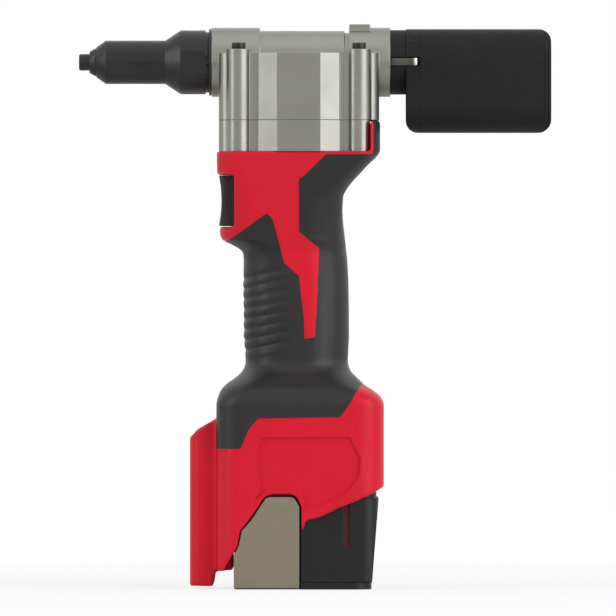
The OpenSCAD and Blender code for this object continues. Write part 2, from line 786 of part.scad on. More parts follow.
module gear_head() color(alloy) difference() {
    union() {
        translate([0, 0, seam_z]) linear_extrude(head_block_h) head_plan(head_l / 2, head_l / 2);
        for (x = [-column_x, column_x], y = [-column_y, column_y])
            translate([x, y, seam_z]) cylinder(h = column_top_z - seam_z, r = column_r);
        rod(-head_l / 2, head_l, barrel_mid_r);
        rod(head_front_x, end_ring_l, barrel_r);
        rod(head_rear_x - rear_block_l, rear_block_l, barrel_r);
        box(head_rear_x - rear_block_l, head_rear_x - rear_block_l + boss_l, boss_half_w,
            pull_z, pull_z + boss_h);
        rod(head_front_x - spigot_l, spigot_l + ov, spigot_r);
    }
    difference() {
        rod(head_rear_x - rear_block_l - barrel_groove_l, barrel_groove_l, span / 8);
        rod(head_rear_x - rear_block_l - span / 8, span / 4, barrel_mid_r - barrel_groove_depth);
        disc(0, head_top_z, span);
    }
    rod(thrust_x, nut_chamber_l, nut_chamber_r);
    rod(head_front_x - spigot_l - ov, thrust_x - stop_wall_l - head_front_x + spigot_l + ov,
        jaw_case_r + 2 * run_gap);
    rod(head_front_x, head_rear_x - head_front_x + ov, spindle_r + run_gap);
    box(pin_x - 2 * pin_r, head_rear_x + ov, pin_half_l + part_gap,
        pull_z - pin_r - run_gap, pull_z + pin_r + run_gap);
    disc(seam_z - ov, chamber_h + ov, chamber_r);
    disc(seam_z - ov, bearing_plate_t + ov, bearing_plate_r + fit_gap);
    column_holes();
}
case_gap = 0.1;
module ring_gear_case() color(alloy) difference() {
    union() {
        translate([0, 0, shell_top_z]) linear_extrude(ring_case_h)
            head_plan(head_l / 2, tail_x - case_gap);
        disc(ring_case_z, ring_case_spigot_l + ov, ring_spigot_r);
    }
    disc(ring_case_z - ov, span, ring_gear_r + fit_gap);
    column_holes();
    box(tail_x - case_gap, span, span, 0, span);
}
module head_screws() color(dark_steel) for (x = [-column_x, column_x], y = [-column_y, column_y])
    translate([x, y, column_top_z]) {
        translate([0, 0, -head_screw_l]) cylinder(h = head_screw_l, r = head_screw_r);
        difference() {
            cylinder(h = head_screw_head_l, r = head_screw_head_r);
            translate([0, 0, head_screw_head_l / 2])
                cylinder(h = head_screw_head_l, r = head_screw_r, $fn = 6);
        }
    }
module bearing_plate() color(alloy)
    washer(seam_z, bearing_plate_t, bearing_plate_r, output_bearing_r + fit_gap);
module output_bearing() color(steel)
    washer(seam_z, output_bearing_l, output_bearing_r, output_r + run_gap);
module thrust_bearing() color(steel)
    tube(thrust_x, thrust_l - run_gap, nut_chamber_r - part_gap, spindle_r + part_gap);
module nut_bearing() color(steel)
    tube(nut_x + thrust_l, nut_bearing_l, nut_chamber_r - run_gap, nut_r + run_gap);

// Nose
module nose_housing() color(dark_steel) difference() {
    union() {
        at_pull(nose_x) cylinder(h = nose_cone_l, r1 = nose_cone_r, r2 = nose_r);
        rod(nose_bore_x, collar_x - taper_l - nose_bore_x, nose_r);
        at_pull(collar_x - taper_l) cylinder(h = taper_l, r1 = nose_r, r2 = collar_r);
        rod(collar_x - ov, sleeve_l + ov, sleeve_r);
    }
    rod(nose_x - ov, nose_l, thread_r + fit_gap);
    rod(nose_bore_x, nose_l, jaw_case_r + 2 * run_gap);
}
module nose_collar() color(dark_steel) difference() {
    union() {
        rod(collar_x + fit_gap, collar_l - collar_groove_l - fit_gap, collar_r);
        rod(collar_x + fit_gap, collar_l - fit_gap, collar_r - collar_groove_depth);
    }
    rod(collar_x - ov, sleeve_l + part_gap + ov, sleeve_r + fit_gap);
    rod(collar_x, collar_l + ov, spigot_r + fit_gap);
    for (side = [-1, 1])
        translate([collar_x + collar_l / 2, side * (span / 2 + collar_r - collar_flat_depth), pull_z])
        cube([collar_l - 4 * collar_groove_l, span, span], center = true);
}
module nose_washer() color(dark_steel)
    tube(collar_rear_x, washer_l, washer_r, spigot_r + fit_gap);
module nosepiece() color(dark_steel) difference() {
    union() {
        rod(tip_x, tip_l, tip_r);
        at_pull(tip_x + tip_l) cylinder(h = tip_cone_l, r1 = tip_step_r, r2 = tip_flange_r);
        rod(tip_x + tip_l, tip_cone_l + thread_l, thread_r);
    }
    rod(tip_x - ov, nose_l, mandrel_bore_r);
}

// Jaws, spindle and nut
cone_tilt = atan((jaw_rear_r - jaw_mouth_r) / jaw_cone_l);
function cone_r(x) = mix(jaw_mouth_r, jaw_rear_r, (x - jaw_case_x) / jaw_cone_l);
module jaw_case() color(steel) difference() {
    rod(jaw_case_x, jaw_case_l, jaw_case_r);
    at_pull(jaw_case_x) cylinder(h = jaw_cone_l, r1 = jaw_mouth_r, r2 = jaw_rear_r);
    rod(jaw_case_x - ov, ov, jaw_mouth_r);
    rod(jaw_case_x + jaw_cone_l, jaw_room_l, jaw_rear_r);
    rod(spindle_x, jaw_case_l, spindle_r + fit_gap);
}
module jaw(i) color(dark_steel) at_pull(0) rotate([0, 0, 120 * i - jaw_sector / 2])
    rotate_extrude(angle = jaw_sector) polygon([
        [jaw_bore_r, jaw_front_x], [cone_r(jaw_front_x) - part_gap, jaw_front_x],
        [cone_r(jaw_front_x + jaw_l) - part_gap, jaw_front_x + jaw_l],
        [jaw_bore_r, jaw_front_x + jaw_l]
    ]);
module jaw_1() jaw(0);
module jaw_2() jaw(1);
module jaw_3() jaw(2);
module jaw_pusher() color(steel) tube(pusher_x, pusher_l, pusher_r, spindle_bore_r);
module jaw_spring() color(steel)
    tube(
        pusher_x + pusher_l, spindle_x + spring_seat_l - pusher_x - pusher_l,
        spring_r, spring_r - spring_wire
    );
module pull_spindle() color(steel) difference() {
    rod(spindle_x, spindle_rear_x - spindle_x, spindle_r);
    rod(spindle_x - ov, span, spindle_bore_r);
    rod(spindle_x - ov, spring_seat_l + ov, spring_seat_r);
    translate([pin_x, 0, pull_z]) along_y() cylinder(h = span, r = pin_r + fit_gap, center = true);
}
module guide_pin() color(steel) difference() {
    translate([pin_x, 0, pull_z]) along_y() cylinder(h = 2 * pin_half_l, r = pin_r, center = true);
    rod(-span / 2, span, spindle_bore_r);
}
module drive_nut() color(steel) difference() {
    union() {
        rod(nut_x, nut_rear_x - nut_x, nut_r);
        rod(nut_x, nut_rear_x - nut_x + nut_sleeve_l, nut_sleeve_r);
    }
    rod(nut_x - ov, span, spindle_r + run_gap);
}
bevel_scale = (bevel_pitch_r - bevel_face_l) / bevel_pitch_r;
module bevel_teeth_solid(turn) linear_extrude(bevel_face_l, scale = bevel_scale) rotate(turn)
    polygon(gear_outline(bevel_teeth, bevel_pitch_r, bevel_add, bevel_ded, 2 * backlash));
module bevel_gear() color(steel) difference() {
    union() {
        at_pull(-bevel_pitch_r) bevel_teeth_solid(180 / bevel_teeth);
        rod(nut_rear_x + fit_gap, bevel_hub_l + fit_gap, bevel_hub_r);
    }
    rod(nut_rear_x - ov, nut_sleeve_l + ov + fit_gap, nut_sleeve_r + fit_gap);
    rod(nut_rear_x, span, spindle_r + part_gap);
}
module bevel_pinion() color(steel) difference() {
    union() {
        translate([0, 0, pinion_z]) bevel_teeth_solid(0);
        disc(pinion_hub_z, pinion_z - pinion_hub_z + fit_gap, bevel_hub_r);
    }
    disc(0, span, output_r + fit_gap);
}

// Planetary gears
module planet(i) color(steel) rotate([0, 0, 120 * i]) translate([planet_orbit, 0, planet_z])
    difference() {
        linear_extrude(planet_w) rotate(180 / planet_teeth)
            polygon(gear_outline(planet_teeth, planet_r, gear_add, gear_ded, backlash));
        translate([0, 0, -ov]) cylinder(h = planet_w + 2 * ov, r = planet_pin_r + run_gap);
    }
module planet_1() planet(0);
module planet_2() planet(1);
module planet_3() planet(2);
module planet_carrier() color(steel) {
    disc(carrier_z, carrier_t, planet_orbit + carrier_rim);
    disc(carrier_z, pinion_z + bevel_face_l - carrier_z, output_r);
    for (i = [0, 1, 2]) rotate([0, 0, 120 * i]) translate([planet_orbit, 0, planet_z + part_gap])
        cylinder(h = planet_w + part_gap, r = planet_pin_r);
}
module ring_gear() color(steel) translate([0, 0, ring_case_z + part_gap]) difference() {
    cylinder(h = planet_w + carrier_t, r = ring_gear_r);
    translate([0, 0, -ov]) linear_extrude(planet_w + carrier_t + 2 * ov) rotate(180 / ring_teeth)
        polygon(gear_outline(ring_teeth, ring_r, gear_ded, gear_add, -backlash));
}
module motor_pinion() color(steel) difference() {
    translate([0, 0, planet_z]) linear_extrude(planet_w - part_gap)
        polygon(gear_outline(sun_teeth, sun_r, gear_add, gear_ded, backlash));
    disc(0, span, shaft_r + fit_gap);
}

// Motor
module motor_can() color(steel) difference() {
    disc(motor_z, motor_l, motor_r);
    disc(motor_z - ov, motor_l + ov - bearing_l, motor_r - can_wall);
    disc(motor_z, span, bearing_r + fit_gap);
}
module motor_magnets() color(magnet)
    washer(core_z, core_l, motor_r - can_wall - fit_gap, motor_r - can_wall - magnet_t);
module motor_end_bell() color(black) difference() {
    disc(motor_z - bell_h, bell_h - fit_gap, motor_r);
    disc(motor_z - bearing_l, bell_h, bearing_r + fit_gap);
}
module motor_plate() color(alloy)
    washer(plate_z, plate_t, plate_r, bearing_r + fit_gap);
module rotor_bearings() color(steel) {
    washer(motor_z - bearing_l + fit_gap, bearing_l - fit_gap, bearing_r, shaft_r + run_gap);
    washer(motor_top_z - bearing_l, bearing_l, bearing_r, shaft_r + run_gap);
    washer(plate_z, plate_t, bearing_r, shaft_r + run_gap);
}
module rotor_shaft() color(steel)
    disc(motor_z - bearing_l + part_gap, planet_z + planet_w - motor_z + bearing_l - 2 * part_gap, shaft_r);
slot_count = 9;
core_slot_r = 1.6;
commutator_r = 4.5;
commutator_l = 4;
module rotor_core() color(copper) difference() {
    union() {
        disc(core_z, core_l, rotor_r);
        disc(core_z - commutator_l, commutator_l, commutator_r);
    }
    for (i = [0 : slot_count - 1]) rotate([0, 0, 360 * i / slot_count])
        translate([rotor_r - core_slot_r / 2, 0, core_z - ov]) cylinder(h = core_l + 2 * ov, r = core_slot_r);
    disc(0, span, shaft_r + fit_gap);
}

// Trigger, switch and wiring
trigger_rear_x = -crown_front + trigger_depth + bulkhead_t;
trigger_face = 0.7;
trigger_hollow = 0.9;
trigger_bow_r = 45;
trigger_round = 2.5;
module trigger() color(black) difference() {
    intersection() {
        box(-crown_front + trigger_face, trigger_rear_x, trigger_half_w,
            trigger_z + passage_gap, trigger_z + trigger_open_h - passage_gap);
        translate([0, 0, trigger_z]) linear_extrude(trigger_open_h)
            translate([-crown_front + trigger_face + span / 8, 0])
                rounded(span / 4, 2 * trigger_half_w, trigger_round);
    }
    translate([
        -crown_front + trigger_face + trigger_hollow - trigger_bow_r, 0, trigger_z + trigger_open_h / 2
    ])
        along_y() cylinder(h = span, r = trigger_bow_r, center = true, $fn = 128);
}
switch_x = trigger_rear_x + switch_gap;
module trigger_switch() color(black) {
    box(switch_x, switch_x + switch_l, switch_half_w, trigger_z + fit_gap, brow_rib_z - fit_gap);
}
board_half_w = lip_half_w - cavity_inset;
module control_board() color(board_green)
    box(board_x, board_x + board_t, board_half_w, trigger_z + fit_gap, brow_rib_z - fit_gap);
module terminal_block() color(black) {
    box(-block_half_l, block_half_l, block_half_w, block_z, block_z + block_h);
    blades(0);
}
module wire(x, y, z, h) translate([x, y, z]) cylinder(h = h, r = wire_r);
lead_x = -motor_r - 2 * wire_r;
block_top = block_z + block_h;
motor_lead_y = 6;
module lead_wires() color(copper) for (side = [-1, 1]) {
    wire(lead_x, side * wire_y, wire_z, trigger_z + fit_gap - wire_z);
    translate([lead_x, side * wire_y, wire_z]) sphere(wire_r);
    translate([lead_x, side * wire_y, wire_z]) along_x()
        cylinder(h = -block_half_l / 2 - lead_x, r = wire_r);
    translate([-block_half_l / 2, side * wire_y, wire_z]) sphere(wire_r);
    wire(-block_half_l / 2, side * wire_y, block_top, wire_z - block_top);
    wire(block_half_l / 2, side * motor_lead_y, block_top, motor_z - bell_h - block_top);
}

// Neck, collector and its latch
neck_bore_r = 5;
neck_lip_l = 4;
neck_lip_r = 8;
latch_half_h = 1.4;
latch_t = 0.6;
latch_l = 9.4;
latch_sink = 0.4;
latch_hook_l = 1.7;
latch_hook_t = 0.5;
latch_root = 0.3;
cap_x = head_rear_x + neck_l + part_gap;
collector_end = cap_x + collector_l - part_gap;
cup_x = cap_x + collector_cap_l + fit_gap;
latch_y = neck_r - latch_sink;
latch_end = head_rear_x + latch_root + latch_l;
bottom_r_share = 0.82;
module latch_groove()
    translate([head_rear_x - ov, -span - latch_y + latch_t + part_gap, pull_z - latch_half_h - part_gap])
    cube([latch_l + 2 * ov + latch_root, span, 2 * (latch_half_h + part_gap)]);
module collector_neck() color(black) difference() {
    union() {
        rod(head_rear_x, neck_l, neck_r);
        rod(head_rear_x, neck_l + neck_lip_l, neck_lip_r);
    }
    rod(head_rear_x - ov, span, neck_bore_r);
    latch_groove();
}
module collector_plan(inset) {
    r = collector_half_w * bottom_r_share - inset;
    circle(collector_half_w - inset);
    translate([0, inset - collector_half_w])
        square([collector_drop - inset - r, 2 * (collector_half_w - inset)]);
    for (y = [-1, 1]) translate([collector_drop - inset - r, y * (collector_half_w - inset - r)]) circle(r);
    translate([0, r + inset - collector_half_w])
        square([collector_drop - inset, 2 * (collector_half_w - r - inset)]);
}
module collector_side(x0, x1, inset) {
    round_r = collector_round - inset / 2;
    top = pull_z + collector_half_w - inset;
    low = pull_z - collector_drop + inset;
    translate([x0, low]) square([x1 - inset - round_r - x0, top - low]);
    translate([x0, low + round_r]) square([x1 - inset - x0, top - low - 2 * round_r]);
    for (z = [low + round_r, top - round_r]) translate([x1 - inset - round_r, z]) circle(round_r);
}
module collector_solid(x0, inset) intersection() {
    at_pull(x0) linear_extrude(collector_end - x0) collector_plan(inset);
    across(span) collector_side(x0, collector_end, inset);
}
module collector_cap() color(black) difference() {
    union() {
        intersection() {
            at_pull(cap_x) linear_extrude(collector_cap_l) collector_plan(0);
            across(span) mirror([1, 0]) collector_side(-cap_x - collector_cap_l, -cap_x, 0);
        }
        rod(cap_x, collector_cap_l, collector_half_w);
    }
    rod(cap_x - ov, span, neck_lip_r + part_gap);
    latch_groove();
}
module collector_cup() color(black) difference() {
    collector_solid(cup_x, 0);
    at_pull(cup_x - ov) linear_extrude(ov * 2) collector_plan(collector_wall);
    collector_solid(cup_x, collector_wall);
}
module collector_latch() color(steel) {
    translate([head_rear_x + latch_root, -latch_y, pull_z - latch_half_h])
        cube([latch_l - latch_hook_l, latch_t, 2 * latch_half_h]);
    translate([latch_end - latch_hook_l, -latch_y - latch_hook_t, pull_z - latch_half_h])
        cube([latch_hook_l, latch_t + latch_hook_t, 2 * latch_half_h]);
}

// Battery
block_z0 = battery_floor_t + fit_gap;
module battery_plan(rear) translate([(rear - battery_front) / 2, 0])
    rounded(battery_front + rear, 2 * battery_half_w, block_corner_r);
module stem_plan(inset) translate([(stem_rear - stem_front) / 2, 0])
    rounded(stem_front + stem_rear - 2 * inset, 2 * (stem_half_w - inset), stem_corner_r - inset);
clip_rear_x = clip_w - battery_front + part_gap;
module clip_pocket(side) translate([-battery_front - ov, side > 0 ? pocket_y : -span - pocket_y, 0])
    cube([clip_rear_x + battery_front + ov + part_gap, span, clip_h + 3 * part_gap]);
clip_y = base_half_w - clip_face;
pocket_y = clip_y - clip_t - clip_pocket_gap;
clip_pin_y = clip_y - clip_t - clip_pin_r / 2;
clip_mid_x = clip_rear_x - clip_w / 2 - part_gap;
clip_pin_half = clip_w * clip_pin_half_share;
block_step_z = battery_block_h * block_step_share;
module block_prism(low_z, high_z, rear) translate([0, 0, low_z])
    linear_extrude(high_z - low_z) battery_plan(rear);
module battery_case() color(black) difference() {
    union() {
        intersection() {
            block_prism(block_z0, block_step_z, battery_rear + block_lean);
            across(span) polygon([
                [-battery_front - ov, 0], [battery_rear, 0],
                [battery_rear + block_lean, battery_block_h], [-battery_front - ov, battery_block_h]
            ]);
        }
        block_prism(block_step_z - ov, battery_block_h, base_rear - wall_t - block_room);
        translate([0, 0, block_z0]) linear_extrude(stem_top_z - block_z0) stem_plan(0);
    }
    translate([0, 0, block_z0 - ov])
        linear_extrude(stem_top_z - block_z0 + ov - stem_wall) stem_plan(stem_wall);
    for (side = [-1, 1]) {
        clip_pocket(side);
        translate([clip_mid_x, side * clip_pin_y, clip_pin_z]) along_x()
            cylinder(h = 2 * (clip_pin_half + ov), r = clip_pin_r + fit_gap, center = true);
        translate([stem_rear - slot_w / 2, side * battery_half_w, slot_z + slot_h / 2])
            cube([slot_w, 2 * slot_depth, slot_h], center = true);
    }
}
module battery_floor() color(black) difference() {
    linear_extrude(battery_floor_t) battery_plan(battery_rear);
    for (side = [-1, 1]) translate([0, 0, -ov]) clip_pocket(side);
}
cell_front_x = stem_wall + part_gap - stem_front + cell_r;
module battery_cells() color(cell_blue) for (p = [[0, -1], [0, 1], [sqrt(3), 0]])
    translate([
        cell_front_x + p[0] * (cell_r + fit_gap), p[1] * (cell_r + fit_gap), battery_floor_t + cell_floor
    ])
        cylinder(h = cell_l, r = cell_r);
blade_t = 0.8;
blade_h = 3;
blade_half_l = 3;
blade_pitch = 5;
module blades(gap) for (k = [-1, 0, 1]) translate([0, k * blade_pitch, 0])
    box(-blade_half_l - gap, blade_half_l + gap, blade_t / 2 + gap, block_z - blade_h - gap, block_z + ov);
module battery_terminals() color(black) difference() {
    box(-tower_half_l, tower_half_l, tower_half_w, stem_top_z, stem_top_z + tower_h);
    blades(part_gap);
}
clip_shares = [
    [0, 0.02], [0, 0.36], [0.08, 0.48], [0.125, 0.635], [0.28, 0.76], [0.42, 0.91], [0.49, 0.985],
    [0.55, 1], [0.88, 1], [0.93, 0.985], [1, 0.9], [1, 0.02]
];
module clip(side) color(clip_grey) difference() {
    union() {
        translate([0, side * (clip_y - clip_t / 2), 0]) across(clip_t) polygon([
            for (s = clip_shares) [clip_rear_x - part_gap - clip_w * (1 - s[0]), clip_h * s[1]]
        ]);
        translate([clip_mid_x, side * clip_pin_y, clip_pin_z]) along_x()
            cylinder(h = 2 * (clip_pin_half - ov), r = clip_boss_r, center = true);
    }
    translate([clip_mid_x, side * clip_pin_y, clip_pin_z]) along_x()
        cylinder(h = span, r = clip_pin_r + run_gap, center = true);
}
module left_clip() clip(-1);
module right_clip() clip(1);
module clip_pins() color(steel) for (side = [-1, 1])
    translate([clip_mid_x, side * clip_pin_y, clip_pin_z])
    along_x() cylinder(h = 2 * clip_pin_half, r = clip_pin_r, center = true);

left_shell();
right_shell();
left_grip();
right_grip();
casing_screws();
gear_head();
ring_gear_case();
head_screws();
bearing_plate();
output_bearing();
thrust_bearing();
nut_bearing();
nose_housing();
nose_collar();
nose_washer();
nosepiece();
collector_neck();
collector_cap();
collector_cup();
collector_latch();
trigger();
trigger_switch();
control_board();
terminal_block();
lead_wires();
motor_can();
motor_magnets();
motor_end_bell();
motor_plate();
rotor_bearings();
rotor_shaft();
rotor_core();
motor_pinion();
ring_gear();
planet_carrier();
planet_1();
planet_2();
planet_3();
bevel_pinion();
bevel_gear();
drive_nut();
pull_spindle();
guide_pin();
jaw_case();
jaw_1();
jaw_2();
jaw_3();
jaw_pusher();
jaw_spring();
battery_case();
battery_floor();
battery_cells();
battery_terminals();
clip_pins();
left_clip();
right_clip();
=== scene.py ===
import json
import math

import bmesh
import bpy
import numpy as np
from mathutils import Matrix, Vector

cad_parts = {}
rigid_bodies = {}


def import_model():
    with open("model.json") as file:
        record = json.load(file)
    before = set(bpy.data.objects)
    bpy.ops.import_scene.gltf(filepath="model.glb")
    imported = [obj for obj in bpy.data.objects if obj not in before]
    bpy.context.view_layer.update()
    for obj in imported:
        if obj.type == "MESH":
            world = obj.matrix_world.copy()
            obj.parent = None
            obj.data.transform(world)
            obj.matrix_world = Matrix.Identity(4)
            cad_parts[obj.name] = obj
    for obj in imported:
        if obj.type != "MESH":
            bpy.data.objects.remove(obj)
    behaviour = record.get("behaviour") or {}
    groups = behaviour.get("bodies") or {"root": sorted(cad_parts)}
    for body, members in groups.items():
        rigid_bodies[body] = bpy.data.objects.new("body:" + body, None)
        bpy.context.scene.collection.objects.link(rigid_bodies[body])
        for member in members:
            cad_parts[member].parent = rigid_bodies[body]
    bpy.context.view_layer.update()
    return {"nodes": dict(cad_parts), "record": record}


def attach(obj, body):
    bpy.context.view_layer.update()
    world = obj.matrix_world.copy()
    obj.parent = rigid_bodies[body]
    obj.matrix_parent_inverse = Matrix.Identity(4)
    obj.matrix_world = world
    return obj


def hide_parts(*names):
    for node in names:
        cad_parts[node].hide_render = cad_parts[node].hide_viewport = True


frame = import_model()
nodes = frame["nodes"]
bpy.ops.object.select_all(action="DESELECT")
print("frame loaded with", len(nodes), "nodes")

mm = 0.001
pullZ = 184 * mm  # height of the pulling axis
weldReach = 1e-6  # points closer than this become one


# small helpers shared by the pieces below

def takeOnly(ob):
    bpy.ops.object.select_all(action="DESELECT")
    ob.select_set(True)
    bpy.context.view_layer.objects.active = ob


def applied(ob, kind, **values):
    takeOnly(ob)
    mod = ob.modifiers.new(kind.title(), kind)
    for key, value in values.items():
        setattr(mod, key, value)
    bpy.ops.object.modifier_apply(modifier=mod.name)


def onAll(ob, operator, **values):
    # one edit mode operator over the whole mesh
    takeOnly(ob)
    bpy.ops.object.mode_set(mode="EDIT")
    bpy.ops.mesh.select_all(action="SELECT")
    operator(**values)
    bpy.ops.object.mode_set(mode="OBJECT")


def settled(ob):
    takeOnly(ob)
    bpy.ops.object.transform_apply(location=True, rotation=True, scale=True)


def nodeCopy(name, newName):
    ob = bpy.data.objects.new(newName, nodes[name].data.copy())
    ob.data.name = newName
    ob.data.materials.clear()
    bpy.context.scene.collection.objects.link(ob)
    onAll(ob, bpy.ops.mesh.remove_doubles, threshold=weldReach)
    return ob


def twin(ob, newName):
    other = bpy.data.objects.new(newName, ob.data.copy())
    other.data.name = newName
    bpy.context.scene.collection.objects.link(other)
    return other


def shaded(ob, angle):
    takeOnly(ob)
    bpy.ops.object.shade_smooth_by_angle(angle=math.radians(angle))


def rounded(ob, voxel, rounds):
    applied(ob, "REMESH", mode="VOXEL", voxel_size=voxel * mm)
    applied(ob, "SMOOTH", factor=0.5, iterations=rounds)


def thinned(ob, keep):
    count = sum(len(face.vertices) - 2 for face in ob.data.polygons)
    print(ob.name, "has", count, "triangles before thinning")
    if count > keep:
        applied(ob, "DECIMATE", ratio=keep / count)


def finished(ob, body, replaced, finish):
    ob.data.materials.clear()
    ob.data.materials.append(finish)
    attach(ob, body)
    if replaced:
        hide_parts(*replaced)


# finishes, all on Object coordinates

wear = {"radius": 0.3, "samples": 4, "plastic": (0.03, 0.2), "metal": (0.02, 0.16)}  # how far an edge is rubbed
grainHeight = 0.1


def newFinish(name):
    mat = bpy.data.materials.new(name)
    mat.use_nodes = True
    tree = mat.node_tree
    tree.nodes.clear()
    out = tree.nodes.new("ShaderNodeOutputMaterial")
    shader = tree.nodes.new("ShaderNodeBsdfPrincipled")
    tree.links.new(shader.outputs[0], out.inputs[0])
    place = tree.nodes.new("ShaderNodeTexCoord")
    return mat, tree, shader, place.outputs["Object"]


def noiseAt(tree, place, scale, detail=2.0, stretch=None):
    tex = tree.nodes.new("ShaderNodeTexNoise")
    tex.inputs["Scale"].default_value = scale
    tex.inputs["Detail"].default_value = detail
    if stretch:
        mapping = tree.nodes.new("ShaderNodeMapping")
        mapping.inputs["Scale"].default_value = stretch
        tree.links.new(place, mapping.inputs["Vector"])
        place = mapping.outputs[0]
    tree.links.new(place, tex.inputs["Vector"])
    return tex.outputs["Fac"]


def cellsAt(tree, place, scale):
    tex = tree.nodes.new("ShaderNodeTexVoronoi")
    tex.inputs["Scale"].default_value = scale
    tree.links.new(place, tex.inputs["Vector"])
    return tex.outputs["Distance"]


def spread(tree, value, low, high, fromLow=0.3, fromHigh=0.7):
    node = tree.nodes.new("ShaderNodeMapRange")
    node.inputs["From Min"].default_value = fromLow
    node.inputs["From Max"].default_value = fromHigh
    node.inputs["To Min"].default_value = low
    node.inputs["To Max"].default_value = high
    tree.links.new(value, node.inputs["Value"])
    return node.outputs["Result"]


def twoTone(tree, fac, first, second):
    node = tree.nodes.new("ShaderNodeMix")
    node.data_type = "RGBA"
    for socket, colour in ((node.inputs[6], first), (node.inputs[7], second)):
        if isinstance(colour, tuple):
            socket.default_value = (*colour, 1)
        else:
            tree.links.new(colour, socket)
    tree.links.new(fac, node.inputs[0])
    return node.outputs[2]


def relief(tree, shader, layers):
    normal = None
    for height, strength, distance in layers:
        node = tree.nodes.new("ShaderNodeBump")
        node.inputs["Strength"].default_value = strength
        node.inputs["Distance"].default_value = distance
        tree.links.new(height, node.inputs["Height"])
        if normal:
            tree.links.new(normal, node.inputs["Normal"])
        normal = node.outputs[0]
    tree.links.new(normal, shader.inputs["Normal"])


def edgeMask(tree, low, high):
    flat = tree.nodes.new("ShaderNodeNewGeometry")
    eased = tree.nodes.new("ShaderNodeBevel")
    eased.samples = wear["samples"]
    eased.inputs["Radius"].default_value = wear["radius"] * mm
    turn = tree.nodes.new("ShaderNodeVectorMath")
    turn.operation = "DOT_PRODUCT"
    tree.links.new(flat.outputs["Normal"], turn.inputs[0])
    tree.links.new(eased.outputs[0], turn.inputs[1])
    return spread(tree, turn.outputs["Value"], 1, 0, 1 - high, 1 - low)


def plasticFinish(name, look):
    mat, tree, shader, place = newFinish(name)
    cloud = spread(tree, noiseAt(tree, place, look["mottle"], 4), 0, 1)
    body = twoTone(tree, cloud, look["dark"], look["light"])
    worn = twoTone(tree, edgeMask(tree, *wear["plastic"]), body, look["edge"])
    tree.links.new(worn, shader.inputs["Base Color"])
    rough = spread(tree, noiseAt(tree, place, look["mottle"] * 3, 3), *look["rough"])
    tree.links.new(rough, shader.inputs["Roughness"])
    shader.inputs["Specular IOR Level"].default_value = look["gloss"]
    relief(tree, shader, [
        (noiseAt(tree, place, look["grain"], 2), look["grainDepth"], grainHeight * mm),
        (cellsAt(tree, place, look["grain"] * 0.6), look["grainDepth"] * 0.5, grainHeight * mm),
    ])
    return mat


def metalFinish(name, look):
    mat, tree, shader, place = newFinish(name)
    brush = look.get("brush")  # stretches the grain along X
    cloud = spread(tree, noiseAt(tree, place, look["mottle"], 5), 0, 1)
    body = twoTone(tree, cloud, look["dark"], look["light"])
    worn = twoTone(tree, edgeMask(tree, *wear["metal"]), body, look["edge"])
    tree.links.new(worn, shader.inputs["Base Color"])
    shader.inputs["Metallic"].default_value = look["metal"]
    shader.inputs["Specular IOR Level"].default_value = look.get("gloss", 0.5)
    rough = spread(tree, noiseAt(tree, place, look["mottle"] * 2.5, 3, brush), *look["rough"])
    tree.links.new(rough, shader.inputs["Roughness"])
    relief(tree, shader, [
        (noiseAt(tree, place, look["grain"], 3, brush), look["grainDepth"], grainHeight * mm),
        (noiseAt(tree, place, look["grain"] * 0.25, 2), look["grainDepth"] * 0.6, grainHeight * 2 * mm),
    ])
    return mat


redPlastic = plasticFinish("redPlastic", {
    "dark": (0.62, 0.0045, 0.018), "light": (0.67, 0.006, 0.022), "edge": (0.72, 0.015, 0.03),
    "mottle": 60, "rough": (0.34, 0.44), "gloss": 0.22, "grain": 2600, "grainDepth": 0.10})
gripRubber = plasticFinish("gripRubber", {
    "dark": (0.0105, 0.0102, 0.0102), "light": (0.015, 0.0145, 0.0145), "edge": (0.028, 0.027, 0.027),
    "mottle": 90, "rough": (0.38, 0.46), "gloss": 0.36, "grain": 1900, "grainDepth": 0.25})
blackPlastic = plasticFinish("blackPlastic", {
    "dark": (0.0075, 0.0075, 0.0075), "light": (0.0105, 0.0105, 0.0105), "edge": (0.025, 0.025, 0.025),
    "mottle": 80, "rough": (0.5, 0.6), "gloss": 0.16, "grain": 2400, "grainDepth": 0.16})
triggerPlastic = plasticFinish("triggerPlastic", {
    "dark": (0.019, 0.019, 0.019), "light": (0.024, 0.024, 0.024), "edge": (0.045, 0.045, 0.045),
    "mottle": 80, "rough": (0.42, 0.52), "gloss": 0.3, "grain": 2400, "grainDepth": 0.16})
batteryPlastic = plasticFinish("batteryPlastic", {
    "dark": (0.0045, 0.0042, 0.0042), "light": (0.007, 0.0066, 0.0066), "edge": (0.022, 0.021, 0.021),
    "mottle": 70, "rough": (0.34, 0.42), "gloss": 0.32, "grain": 2200, "grainDepth": 0.18})
slotRed = plasticFinish("slotRed", {
    "dark": (0.07, 0.012, 0.012), "light": (0.085, 0.015, 0.015), "edge": (0.09, 0.016, 0.016),
    "mottle": 90, "rough": (0.5, 0.6), "gloss": 0.2, "grain": 2200, "grainDepth": 0.15})
clipPlastic = plasticFinish("clipPlastic", {
    "dark": (0.212, 0.188, 0.13), "light": (0.226, 0.202, 0.142), "edge": (0.28, 0.255, 0.2),
    "mottle": 300, "rough": (0.42, 0.52), "gloss": 0.35, "grain": 2600, "grainDepth": 0.10})
castMetal = metalFinish("castMetal", {
    "dark": (0.25, 0.25, 0.22), "light": (0.28, 0.28, 0.25), "edge": (0.42, 0.42, 0.385),
    "metal": 0.9, "mottle": 45, "rough": (0.28, 0.36), "grain": 1500, "grainDepth": 0.16})
blackSteel = metalFinish("blackSteel", {
    "dark": (0.011, 0.011, 0.011), "light": (0.018, 0.018, 0.017), "edge": (0.08, 0.078, 0.072),
    "metal": 0.3, "mottle": 140, "rough": (0.28, 0.4), "gloss": 0.45, "grain": 1700, "grainDepth": 0.16})
